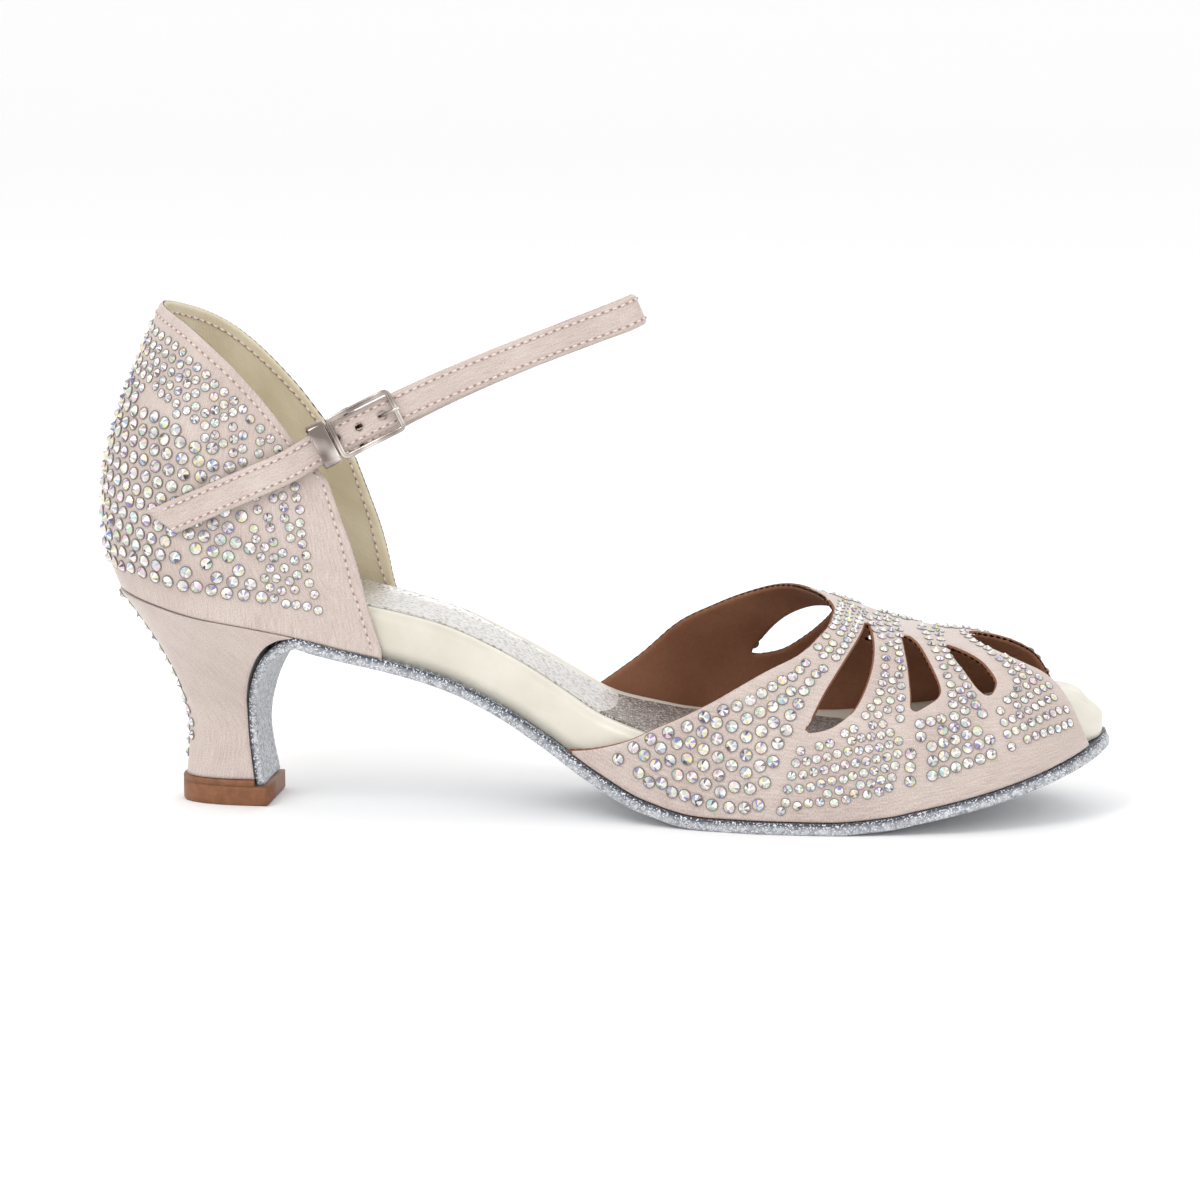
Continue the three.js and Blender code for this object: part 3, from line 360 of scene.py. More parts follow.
def quarter_at(turn, up):
    side = np.where(turn < 0, -1.0, 1.0)
    depth = np.minimum(np.abs(turn) ** TURN_POWER, 1.05)
    foot = BACK_HEIGHT * QUARTER_FOOT
    seat = SOLE_THICK + SEAT_RISE - SEAT_DROP

    def level(share):
        return lerp(feather(foot * share), seat + BACK_HEIGHT * TOPLINE["height"](share), up)

    z = level(depth)
    height = (z - seat) / BACK_HEIGHT
    front = (level(1.0) - seat) / BACK_HEIGHT
    reach = QUARTER["front"](front) - QUARTER["back"](front)
    plan = rim(share_at(foot * depth), side, SOLE_MARGIN)
    rear = rim(np.float64(0), side, SOLE_MARGIN)[..., 0]
    x = BACK_HEIGHT * (QUARTER["back"](height) + reach * (plan[..., 0] - rear) / (foot - rear))
    return points(x, plan[..., 1] * QUARTER["girth"](height), z)


def normal_of(face, a, b, hand):
    step = 1e-3
    da = face(a + step, b) - face(a - step, b)
    db = face(a, b + step) - face(a, b - step)
    return unit(np.cross(da, db)) * hand


def quarter_turn(x, z, side):
    """Where a place seen from the side lies on the quarter."""
    x, z = np.broadcast_arrays(np.asarray(x, float), np.asarray(z, float))
    near, far = np.zeros(x.shape), np.ones(x.shape)
    for _ in range(24):
        turn = (near + far) / 2
        low = quarter_at(side * turn, 0.0)[..., 2]
        high = quarter_at(side * turn, 1.0)[..., 2]
        up = np.clip((z - low) / (high - low), 0, 1.1)
        behind = quarter_at(side * turn, up)[..., 0] < x
        near, far = np.where(behind, turn, near), np.where(behind, far, turn)
    return side * turn, up


def seat_turn(x):
    return np.clip(x / (BACK_HEIGHT * QUARTER_FOOT), 0, 1) ** (1 / TURN_POWER)


# Meshes
def make_object(name, verts, faces, materials, slots=None, uv=None, floats=None):
    """An object at the origin from points in millimetres, with one uv pair a vertex, in metres."""
    mesh = bpy.data.meshes.new(name)
    mesh.from_pydata(((verts - ORIGIN) / 1000).tolist(), [], faces)
    for m in materials:
        mesh.materials.append(m)
    if slots is not None:
        mesh.polygons.foreach_set("material_index", np.asarray(slots, np.int32))
    if uv is not None:
        layer = mesh.uv_layers.new(name="UVMap")
        loops = np.empty(len(mesh.loops), np.int32)
        mesh.loops.foreach_get("vertex_index", loops)
        layer.data.foreach_set("uv", np.asarray(uv, float)[loops].ravel())
    for label, values in (floats or {}).items():
        held = mesh.attributes.new(label, "FLOAT", "POINT")
        held.data.foreach_set("value", np.asarray(values, np.float32))
    mesh.validate()
    mesh.polygons.foreach_set("use_smooth", [True] * len(mesh.polygons))
    mesh.update()
    made = bpy.data.objects.new(name, mesh)
    bpy.context.scene.collection.objects.link(made)
    return made


def face_out(made):
    """Turns the faces of a closed mesh outwards."""
    b = bmesh.new()
    b.from_mesh(made.data)
    bmesh.ops.recalc_face_normals(b, faces=b.faces)
    b.to_mesh(made.data)
    b.free()
    return made


def ring_faces(rows, columns):
    """Quads between the points of rings of equal counts."""
    made = []
    for i in range(rows - 1):
        for j in range(columns):
            k = (j + 1) % columns
            a, b = i * columns, (i + 1) * columns
            made.append((a + j, a + k, b + k, b + j))
    return made


def loft(name, rings, materials, ladder=True, uv=None, floats=None):
    """A closed solid through rings of equal counts. A ladder end joins each point to its mirror."""
    rings = np.asarray(rings)
    count, size = rings.shape[:2]
    faces = ring_faces(count, size)
    for start, flip in ((0, True), ((count - 1) * size, False)):
        if ladder:
            cap = [
                (start + i, start + i + 1, start + size - 2 - i, start + size - 1 - i)
                for i in range(size // 2 - 1 + size % 2)
            ]
            cap = [tuple(dict.fromkeys(c)) for c in cap]
            cap = [c for c in cap if len(c) > 2]
        else:
            cap = [tuple(range(start, start + size))]
        faces += [tuple(reversed(c)) if flip else c for c in cap]
    verts = rings.reshape(-1, 3)
    return face_out(make_object(name, verts, faces, materials, uv=uv, floats=floats))


def run_of(line):
    """How far along a polyline each of its points lies."""
    return np.concatenate([[0], np.cumsum(np.linalg.norm(np.diff(line, axis=0), axis=1))])


def at_runs(at, run, values):
    return np.stack([np.interp(at, run, values[:, k]) for k in range(values.shape[1])], -1)


def resample(loop, step, closed=True):
    """Points at an even step along a polyline."""
    line = np.vstack([loop, loop[:1]]) if closed else np.asarray(loop, float)
    run = run_of(line)
    count = max(4, int(round(run[-1] / step)))
    at = np.linspace(0, run[-1], count + 1)
    if closed:
        at = at[:-1]
    return at_runs(at, run, line)


def inside(spots, loop):
    """Which spots lie inside a closed outline."""
    x, y = spots[:, 0:1], spots[:, 1:2]
    a, b = loop, np.roll(loop, -1, axis=0)
    over = (a[:, 1] > y) != (b[:, 1] > y)
    with np.errstate(divide="ignore", invalid="ignore"):
        cross = a[:, 0] + (y - a[:, 1]) * (b[:, 0] - a[:, 0]) / (b[:, 1] - a[:, 1])
    return (over & (x < cross)).sum(axis=1) % 2 == 1


def nearest(spots, marks):
    """The distance from each spot to the nearest mark."""
    found = np.empty(len(spots))
    for i in range(0, len(spots), 1000):
        part = spots[i : i + 1000]
        found[i : i + 1000] = np.sqrt(((part[:, None] - marks[None]) ** 2).sum(-1).min(axis=1))
    return found


def shell(name, face, outline, holes, step, wall, materials, centred=False, lip=0.0):
    """A thin wall with round edges on face(a, b), which gives points and outward normals.

    outline and holes are closed loops in flat millimetres. Its first material is outside and its
    second inside and within the lip of an edge.
    """
    loops = [resample(np.array(loop, float), 0.7) for loop in [outline, *holes]]
    fine = np.vstack([resample(loop, 0.15) for loop in loops])
    spots, edges = [], []
    for loop in loops:
        start = sum(map(len, spots))
        spots.append(loop)
        edges += [(start + i, start + (i + 1) % len(loop)) for i in range(len(loop))]

    def kept(candidates, least):
        good = inside(candidates, loops[0])
        for hole_shade in loops[1:]:
            good &= ~inside(candidates, hole_shade)
        candidates = candidates[good]
        return candidates[nearest(candidates, fine) > least]

    for depth in (0.12, 0.35, 0.75, 1.3):
        for loop in loops:
            run = unit(np.roll(loop, -1, axis=0) - np.roll(loop, 1, axis=0))
            out = np.stack([-run[:, 1], run[:, 0]], -1)
            for hand in (-1, 1):
                spots.append(kept(loop + out * depth * hand, depth * 0.85))
    low, high = loops[0].min(axis=0), loops[0].max(axis=0)
    rows = np.arange(low[1], high[1], step * 0.87)
    row = np.arange(low[0], high[0], step)
    lattice = np.vstack(
        [
            np.stack([row + (k % 2) * step / 2, np.full_like(row, y)], -1)
            for k, y in enumerate(rows)
        ]
    )
    spots.append(kept(lattice, 1.3 + step * 0.5))
    flat = np.vstack(spots)
    made = delaunay_2d_cdt([Vector(p) for p in flat], edges, [], 0, 1e-5, False)
    flat = np.array([tuple(v) for v in made[0]])
    tris = np.array(made[2])
    middle = flat[tris].mean(axis=1)
    good = inside(middle, loops[0])
    for hole_shade in loops[1:]:
        good &= ~inside(middle, hole_shade)
    tris = tris[good]
    place3, normal = face(flat[:, 0], flat[:, 1])
    border3, _ = face(fine[:, 0], fine[:, 1])
    on_edge = nearest(flat, fine) < 0.02
    depth = np.where(on_edge, 0, nearest(place3, border3))
    radius = wall / 2
    gone = np.clip(1 - depth / radius, 0, 1)
    drop = (radius * (1 - np.sqrt(1 - gone**2)))[:, None]
    base = place3 + normal * radius if centred else place3
    outer = base - normal * drop
    inner = base - normal * (wall - drop)
    a, b, c = (place3[tris[:, k]] for k in range(3))
    facing = (np.cross(b - a, c - a) * normal[tris].mean(axis=1)).sum(axis=1)
    tris[facing < 0] = tris[facing < 0][:, ::-1]
    count = len(flat)
    back = np.where(on_edge, np.arange(count), np.arange(count) + count)
    verts = np.vstack([outer, inner])
    faces = tris.tolist() + back[tris][:, ::-1].tolist()
    slots = (depth[tris].max(axis=1) < lip).astype(int).tolist() + [1] * len(tris)
    used = np.zeros(2 * count, bool)
    used[np.array(faces).ravel()] = True
    index = np.cumsum(used) - 1
    faces = index[np.array(faces)].tolist()
    uv = np.vstack([flat, flat])[used] / 1000
    return make_object(name, verts[used], faces, materials, slots, uv)


# Materials
def tone(code):
    """A colour written as on a paint card, made linear."""
    parts = [int(code[i : i + 2], 16) / 255 for i in (0, 2, 4)]
    return tuple(((p + 0.055) / 1.055) ** 2.4 if p > 0.04 else p / 12.92 for p in parts) + (1.0,)


def feed(tree, socket, value):
    """Links a socket to another one, or sets its value."""
    if isinstance(value, bpy.types.NodeSocket):
        tree.links.new(value, socket)
    else:
        socket.default_value = value


def add(tree, kind, inputs=None, **settings):
    """A node with its settings, and its inputs as values or links."""
    node = tree.nodes.new(kind)
    for name, value in settings.items():
        setattr(node, name, value)
    for name, value in (inputs or {}).items():
        feed(tree, next(s for s in node.inputs if s.name == name and s.enabled), value)
    return node


def out_of(node, name):
    return next(s for s in node.outputs if s.name == name and s.enabled)


def shader_group(name, inputs, outputs):
    tree = bpy.data.node_groups.new(name, "ShaderNodeTree")
    for label, kind in inputs:
        tree.interface.new_socket(label, in_out="INPUT", socket_type=kind)
    for label, kind in outputs:
        tree.interface.new_socket(label, in_out="OUTPUT", socket_type=kind)
    return tree, tree.nodes.new("NodeGroupInput"), tree.nodes.new("NodeGroupOutput")


VECTOR, FLOAT = "NodeSocketVector", "NodeSocketFloat"


def math_node(tree, operation, a, b, c=None):
    node = tree.nodes.new("ShaderNodeMath")
    node.operation = operation
    for i, value in enumerate((a, b, c)):
        if value is not None:
            feed(tree, node.inputs[i], value)
    return node.outputs[0]


def ramp(tree, factor, stops, interpolation="LINEAR"):
    node = tree.nodes.new("ShaderNodeValToRGB")
    node.color_ramp.interpolation = interpolation
    parts = node.color_ramp.elements
    while len(parts) > 1:
        parts.remove(parts[0])
    parts[0].position, parts[0].color = stops[0]
    for at, color in stops[1:]:
        part = parts.new(at)
        part.color = color
    tree.links.new(factor, node.inputs[0])
    return node.outputs[0]


def ribs_group():
    """Fine ribs along the first coordinate, as on satin, with the yarn's unevenness."""
    tree, given, made = shader_group(
        "ribs", [("Vector", VECTOR), ("Pitch", FLOAT)], [("Height", FLOAT), ("Shade", FLOAT)]
    )
    vector = given.outputs["Vector"]
    stretched = add(tree, "ShaderNodeMapping", {"Vector": vector, "Scale": (0.07, 1.0, 0.3)})
    scale = math_node(tree, "DIVIDE", 1.0, given.outputs["Pitch"])
    lines = add(
        tree,
        "ShaderNodeTexNoise",
        {"Vector": stretched.outputs[0], "Scale": scale, "Detail": 2.0, "Roughness": 0.6},
    )
    yarn = add(
        tree,
        "ShaderNodeTexNoise",
        {"Vector": vector, "Scale": scale, "Detail": 1.0},
    )
    height = math_node(tree, "MULTIPLY_ADD", yarn.outputs[0], 0.25, lines.outputs[0])
    cloud = add(tree, "ShaderNodeTexNoise", {"Vector": vector, "Scale": 60.0, "Detail": 3.0})
    coarse = math_node(tree, "MULTIPLY", lines.outputs[0], 0.35)
    fine = math_node(tree, "MULTIPLY_ADD", yarn.outputs[0], 0.4, coarse)
    shade = math_node(tree, "MULTIPLY_ADD", cloud.outputs[0], 0.25, fine)
    tree.links.new(height, made.inputs["Height"])
    tree.links.new(shade, made.inputs["Shade"])
    return tree


def grain_group():
    """Leather grain: small pebbles with pores."""
    tree, given, made = shader_group(
        "grain", [("Vector", VECTOR), ("Scale", FLOAT)], [("Height", FLOAT), ("Shade", FLOAT)]
    )
    vector, scale = given.outputs["Vector"], given.outputs["Scale"]
    bent = add(tree, "ShaderNodeTexNoise", {"Vector": vector, "Scale": scale, "Detail": 2.0})
    cells = add(
        tree,
        "ShaderNodeTexVoronoi",
        {"Vector": vector, "Scale": scale, "Randomness": 1.0},
        feature="F1",
    )
    height = math_node(tree, "MULTIPLY_ADD", bent.outputs[0], 0.6, cells.outputs["Distance"])
    cloud = add(tree, "ShaderNodeTexNoise", {"Vector": vector, "Scale": 70.0, "Detail": 4.0})
    tree.links.new(height, made.inputs["Height"])
    tree.links.new(cloud.outputs[0], made.inputs["Shade"])
    return tree


def sparkle_group():
    """Flakes of glitter: a mask of bright flakes, and an uneven level for the rest."""
    tree, given, made = shader_group(
        "sparkle",
        [("Vector", VECTOR), ("Scale", FLOAT), ("Share", FLOAT)],
        [("Mask", FLOAT), ("Level", FLOAT)],
    )
    cells = add(
        tree,
        "ShaderNodeTexVoronoi",
        {"Vector": given.outputs["Vector"], "Scale": given.outputs["Scale"]},
        feature="F1",
    )
    parts = add(tree, "ShaderNodeSeparateColor", {"Color": cells.outputs["Color"]})
    mask = math_node(tree, "LESS_THAN", parts.outputs[0], given.outputs["Share"])
    tree.links.new(mask, made.inputs["Mask"])
    tree.links.new(parts.outputs[1], made.inputs["Level"])
    return tree


RIBS, GRAIN, SPARKLE = ribs_group(), grain_group(), sparkle_group()


def new_material(name, color, **sockets):
    """A material with its shader's plain values, its tree and its shader."""
    made = bpy.data.materials.new(name)
    made.use_nodes = True
    tree = made.node_tree
    shader = tree.nodes["Principled BSDF"]
    made.diffuse_color = color
    shader.inputs["Base Color"].default_value = color
    for label, value in sockets.items():
        shader.inputs[label.replace("_", " ")].default_value = value
    return made, tree, shader


def placed(tree, group, inputs):
    return add(tree, "ShaderNodeGroup", inputs, node_tree=group)


def bump(tree, shader, height, strength, distance):
    node = add(
        tree,
        "ShaderNodeBump",
        {"Height": height, "Strength": strength, "Distance": distance},
    )
    tree.links.new(node.outputs[0], shader.inputs["Normal"])


def coords(tree, kind):
    if kind == "UV":
        return add(tree, "ShaderNodeUVMap", uv_map="UVMap").outputs[0]
    return tree.nodes.new("ShaderNodeTexCoord").outputs["Object"]


def blend_colors(tree, factor, low, high):
    node = add(tree, "ShaderNodeMix", {"Factor": factor, "A": low, "B": high}, data_type="RGBA")
    return next(s for s in node.outputs if s.enabled)


def satin_material(name, where, turned=False):
    made, tree, shader = new_material(
        name, tone("d9c5bd"), Roughness=0.45, Sheen_Weight=0.25, Sheen_Roughness=0.35
    )
    shader.inputs["Specular IOR Level"].default_value = 0.35
    vector = coords(tree, where)
    if turned:
        vector = add(
            tree, "ShaderNodeMapping", {"Vector": vector, "Rotation": (0, 0, math.pi / 2)}
        ).outputs[0]
    ribs = placed(tree, RIBS, {"Vector": vector, "Pitch": 0.00032})
    shade = ribs.outputs["Shade"]
    stops = [(0.38, tone("b09e97")), (0.5, tone("c2b3ab")), (0.62, tone("d0c4bd"))]
    color = ramp(tree, shade, stops)
    tree.links.new(color, shader.inputs["Base Color"])
    bump(tree, shader, ribs.outputs["Height"], 0.3, 0.00008)
    return made


def leather_material(name, low, high, scale, strength, where="Object", **sockets):
    made, tree, shader = new_material(name, tone(high), **sockets)
    grain = placed(tree, GRAIN, {"Vector": coords(tree, where), "Scale": scale})
    color = ramp(tree, grain.outputs["Shade"], [(0.35, tone(low)), (0.65, tone(high))])
    tree.links.new(color, shader.inputs["Base Color"])
    bump(tree, shader, grain.outputs["Height"], strength, 0.0002)
    return made


def sock_material():
    """Silver leather at the heel and waist, and dark glitter from a curved line forwards."""
    made, tree, shader = new_material("sock_leather", tone("cfcdc9"), Roughness=0.34)
    vector = coords(tree, "Object")
    parts = add(tree, "ShaderNodeSeparateXYZ", {"Vector": vector})
    bow = math_node(tree, "MULTIPLY", parts.outputs["Y"], parts.outputs["Y"])
    line = math_node(tree, "MULTIPLY_ADD", bow, 9.0, parts.outputs["X"])
    ahead = math_node(tree, "GREATER_THAN", line, SOCK_LINE)
    grain = placed(tree, GRAIN, {"Vector": vector, "Scale": 900.0})
    silver = ramp(
        tree,
        grain.outputs["Height"],
        [(0.3, tone("7f7c7a")), (0.55, tone("aba8a5")), (0.85, tone("d2cfcb"))],
    )
    flakes = placed(tree, SPARKLE, {"Vector": vector, "Scale": 2600.0, "Share": 0.2})
    dark = ramp(
        tree,
        flakes.outputs["Level"],
        [(0.0, tone("5d5350")), (0.7, tone("8f8580")), (1.0, tone("d8d2cc"))],
    )
    tree.links.new(blend_colors(tree, ahead, silver, dark), shader.inputs["Base Color"])
    metal = math_node(tree, "MULTIPLY_ADD", ahead, -0.3, 0.6)
    tree.links.new(metal, shader.inputs["Metallic"])
    rough = math_node(tree, "MULTIPLY_ADD", ahead, 0.2, 0.33)
    tree.links.new(rough, shader.inputs["Roughness"])
    bump(tree, shader, grain.outputs["Height"], 0.5, 0.0002)
    return made


def suede_material():
    """Silver-grey suede with fine glitter, and painted shade along the top of its edge, under the
    upper.
    """
    made, tree, shader = new_material(
        "sole_suede", tone("b3b6bb"), Roughness=0.8, Sheen_Weight=0.3, Sheen_Roughness=0.5
    )
    vector = coords(tree, "Object")
    flakes = placed(tree, SPARKLE, {"Vector": vector, "Scale": 3600.0, "Share": 0.2})
    nap = add(tree, "ShaderNodeTexNoise", {"Vector": vector, "Scale": 900.0, "Detail": 4.0})
    base = ramp(
        tree,
        nap.outputs[0],
        [(0.32, tone("7c8086")), (0.5, tone("a6a9ad")), (0.68, tone("cccdd0"))],
    )
    # Painted shade: the top face and the upper part of the edge go dark blue-grey, fading out about
    # halfway down, as the shade under the upper.
    depth = add(tree, "ShaderNodeAttribute", attribute_name="depth").outputs["Fac"]
    edge_top_shade = ramp(tree, depth, [(0.0, (1, 1, 1, 1)), (0.3, (1, 1, 1, 1)), (0.55, (0, 0, 0, 1))])
    base = blend_colors(tree, edge_top_shade, base, tone("3f4450"))
    color = blend_colors(tree, flakes.outputs["Mask"], base, tone("d9dce2"))
    tree.links.new(color, shader.inputs["Base Color"])
    metal = math_node(tree, "MULTIPLY", flakes.outputs["Mask"], 0.5)
    tree.links.new(metal, shader.inputs["Metallic"])
    rough = math_node(tree, "MULTIPLY_ADD", flakes.outputs["Mask"], -0.45, 0.82)
    tree.links.new(rough, shader.inputs["Roughness"])
    height = math_node(tree, "MULTIPLY_ADD", flakes.outputs["Level"], 0.5, nap.outputs[0])
    bump(tree, shader, height, 0.7, 0.0003)
    return made


def crystal_material():
    """Foiled glass with painted reflections on its facets: mostly pale, some yellow, green and
    pink, a few dark.
    """
    made, tree, shader = new_material(
        "crystal", (0.9, 0.9, 0.92, 1), Roughness=0.2, Metallic=0.25, Coat_Weight=0.6
    )
    shader.inputs["Coat Roughness"].default_value = 0.03
    facet = add(tree, "ShaderNodeAttribute", attribute_name="facet").outputs["Fac"]
    reflection_seed = add(tree, "ShaderNodeAttribute", attribute_name="reflection_seed").outputs["Fac"]
    seed = math_node(tree, "MULTIPLY_ADD", reflection_seed, 977.0, facet)
    noise = add(tree, "ShaderNodeTexWhiteNoise", {"W": seed}, noise_dimensions="1D")
    # Painted reflections: each facet draws its colour by chance from these stops, in place of what
    # the cut glass would reflect.
    color = ramp(
        tree,
        noise.outputs["Value"],
        [
            (0.0, tone("4d4258")),
            (0.06, tone("a49da6")),
            (0.16, tone("cbc7c4")),
            (0.36, tone("eeebe5")),
            (0.6, tone("fdfcf6")),
            (0.7, tone("ebdc9a")),
            (0.78, tone("b4d8b4")),
            (0.85, tone("e6bcd0")),
            (0.91, tone("7d70bd")),
            (0.96, tone("9fc0d6")),
        ],
        "CONSTANT",
    )
    rim = math_node(tree, "LESS_THAN", facet, -0.5)
    color = blend_colors(tree, rim, color, tone("7f7672"))
    tree.links.new(color, shader.inputs["Base Color"])
    return made


def thread_material():
    made, tree, shader = new_material("thread", tone("e2d2ca"), Roughness=0.6)
    twist = add(
        tree, "ShaderNodeTexNoise", {"Vector": coords(tree, "Object"), "Scale": 3500.0}
    )
    color = ramp(tree, twist.outputs[0], [(0.35, tone("cdb9b0")), (0.65, tone("e6d6ce"))])
    # Painted shade: the beads sunk in the stitch holes go darker, for the shade in the dents
    # between stitches.
    hole_shade = add(tree, "ShaderNodeAttribute", attribute_name="hole_shade").outputs["Fac"]
    color = blend_colors(tree, hole_shade, color, tone("97807a"))
    tree.links.new(color, shader.inputs["Base Color"])
    bump(tree, shader, twist.outputs[0], 0.4, 0.0001)
    return made


def nickel_material():
    made, tree, shader = new_material("nickel", tone("b9b5b0"), Metallic=1.0, Roughness=0.16)
    vector = coords(tree, "Object")
    smear_and_reflection = add(tree, "ShaderNodeTexNoise", {"Vector": vector, "Scale": 160.0, "Detail": 1.0})
    rough = math_node(tree, "MULTIPLY_ADD", smear_and_reflection.outputs[0], 0.16, 0.08)
    tree.links.new(rough, shader.inputs["Roughness"])
    # Painted reflections: the same noise that varies the polish lays darker and lighter patches
    # into the nickel's colour, in place of the room it would mirror.
    stops = [(0.36, tone("857a74")), (0.5, tone("b3a8a2")), (0.64, tone("e0d8d3"))]
    color = ramp(tree, smear_and_reflection.outputs[0], stops)
    tree.links.new(color, shader.inputs["Base Color"])
    return made


def rubber_material():
    made, tree, shader = new_material("heel_rubber", tone("8a5434"), Roughness=0.5)
    vector = coords(tree, "Object")
    speck = add(tree, "ShaderNodeTexNoise", {"Vector": vector, "Scale": 500.0, "Detail": 5.0})
    stops = [(0.3, tone("744829")), (0.5, tone("7f5030")), (0.7, tone("8b5a38"))]
    color = ramp(tree, speck.outputs[0], stops)
    tree.links.new(color, shader.inputs["Base Color"])
    bump(tree, shader, speck.outputs[0], 0.12, 0.0001)
    return made


SOCK_LINE = 0.003
SATIN = satin_material("satin", "UV")
SATIN_ALONG = satin_material("satin_along", "UV", turned=True)
SATIN_PLAIN = satin_material("satin_plain", "Object")
LINING = leather_material("vamp_lining", "784c33", "885b41", 1400.0, 0.35, "UV", Roughness=0.85)
BEIGE = leather_material("quarter_lining", "cbbfa3", "d8ceb6", 1600.0, 0.25, "UV", Roughness=0.6)
CREAM = leather_material("footbed_leather", "cec9bb", "dad5c8", 1500.0, 0.12, Roughness=0.34)
SOCK = sock_material()
SUEDE = suede_material()
CRYSTAL = crystal_material()
THREAD = thread_material()
NICKEL = nickel_material()
RUBBER = rubber_material()


# Vamp
GIRTH_SPAN = 55.0


def vamp_face(s, t):
    share = share_at(s)
    girth = np.clip(t / GIRTH_SPAN, -0.9995, 0.9995)
    sound = np.clip(girth, -0.998, 0.998)
    return vamp_at(share, girth), normal_of(vamp_at, share, sound, 1)


def flat_vamp(pairs):
    """Places given as shares of the length and of the girth, in the vamp's flat millimetres."""
    pairs = np.asarray(pairs, float)
    return pairs * (LENGTH, GIRTH_SPAN)


def spline_loop(pairs, count=160):
    """A smooth closed line through the pairs."""
    pairs = np.asarray(pairs, float)
    n = len(pairs)
    made = []
    for i in range(n):
        p0, p1, p2, p3 = (pairs[(i + k) % n] for k in (-1, 0, 1, 2))
        for t in np.linspace(0, 1, count // n, endpoint=False):
            made.append(
                0.5
                * (
                    2 * p1
                    + (p2 - p0) * t
                    + (2 * p0 - 5 * p1 + 4 * p2 - p3) * t * t
                    + (3 * p1 - p0 - 3 * p2 + p3) * t**3
                )
            )
    return np.array(made)


def vamp_outline():
    g = np.linspace(-1, 1, 240)
    throat = np.stack([THROAT["along"](g), g], -1)
    peep = np.stack([PEEP["along"](g), g], -1)[::-1]
    return flat_vamp(np.vstack([throat, peep]))


def make_vamp():
    holes = [flat_vamp(spline_loop(loop)) for loop in CUTS.values()]
    looks = [SATIN, LINING]
    return shell("vamp_upper", vamp_face, vamp_outline(), holes, 1.15, UPPER_WALL, looks, lip=0.4)


# Quarter
TURN_SPAN, UP_SPAN = 85.0, 62.0


def quarter_face(s, t):
    turn = np.clip(s / TURN_SPAN, -0.9999, 0.9999)
    up = t / UP_SPAN
    return quarter_at(turn, up), normal_of(quarter_at, turn, up, -1)


def make_quarter():
    corners = np.array([[-1, 0], [1, 0], [1, 1], [-1, 1]]) * (TURN_SPAN, UP_SPAN)
    share = np.linspace(0, 1, 60, endpoint=False)[:, None]
    outline = np.vstack([lerp(corners[i], corners[(i + 1) % 4], share) for i in range(4)])
    return shell(
        "quarter_upper", quarter_face, outline, [], 1.5, UPPER_WALL, [SATIN_ALONG, BEIGE]
    )


# Outsole
def breast_path():
    top = BREAST_PLACE + BREAST_SWEEP
    rise = feather(top)
    spots = [[top, rise]]
    spots += [[BREAST_PLACE + BREAST_SWEEP * f, rise * u] for f, u in BREAST]
    spots[-1][1] = TOP_PIECE_HEIGHT - TOP_PIECE_NOTCH + GAP
    return np.array(spots)


def breast_at(z):
    path = breast_path()[::-1]
    return smooth(path[:, 1], path[:, 0])(z)


def heel_half(up, share, side):
    plain = HEEL["width"](up) * HEEL_BASE_WIDTH / 2
    seat = np.abs(rim(share, side, SOLE_MARGIN)[..., 1])
    return lerp(plain, seat, HEEL["seat"](up))


def catmull(spots, count, centripetal=False):
    """A smooth open line through the spots, as points at an even step."""
    spots = np.asarray(spots, float)
    ends = [2 * spots[0] - spots[1], *spots, 2 * spots[-1] - spots[-2]]
    made = []
    for p0, p1, p2, p3 in zip(ends, ends[1:], ends[2:], ends[3:]):
        power = 0.5 if centripetal else 0.0
        d0, d1, d2 = (
            max(np.linalg.norm(b - a) ** power, 1e-4) for a, b in ((p0, p1), (p1, p2), (p2, p3))
        )
        m1 = ((p1 - p0) / d0 - (p2 - p0) / (d0 + d1) + (p2 - p1) / d1) * d1
        m2 = ((p2 - p1) / d1 - (p3 - p1) / (d1 + d2) + (p3 - p2) / d2) * d1
        t = np.linspace(0, 1, 80, endpoint=False)[:, None]
        made.append(
            p1 + m1 * t + (3 * (p2 - p1) - 2 * m1 - m2) * t**2 + (2 * (p1 - p2) + m1 + m2) * t**3
        )
    line = np.vstack([*made, spots[-1:]])
    run = run_of(line)
    at = np.linspace(0, run[-1], count)
    return at_runs(at, run, line), run[-1]


def plate_ring(back, out, outer, inner, thick):
    """One section of the sole: its faces across, joined by round edges."""
    soft = min(0.6, thick / 3)
    across = np.linspace(outer + soft, inner - soft, 15)
    ring = [(y, 0.0) for y in across]
    ring += [(inner - soft + soft * math.sin(a), soft - soft * math.cos(a)) for a in (0.5, 1.0)]
    ring += [(inner, d) for d in np.linspace(soft, thick - soft, 3)]
    ring += [
        (inner - soft + soft * math.cos(a), thick - soft + soft * math.sin(a)) for a in (0.5, 1.0)
    ]
    corner = ring[len(across) :]
    ring += [(y, thick) for y in across[::-1]]
    ring += [(outer + inner - y, d) for y, d in corner[::-1]]
    ring = np.array(ring)
    return points(back[0] + out[0] * ring[:, 1], ring[:, 0], back[1] + out[1] * ring[:, 1])


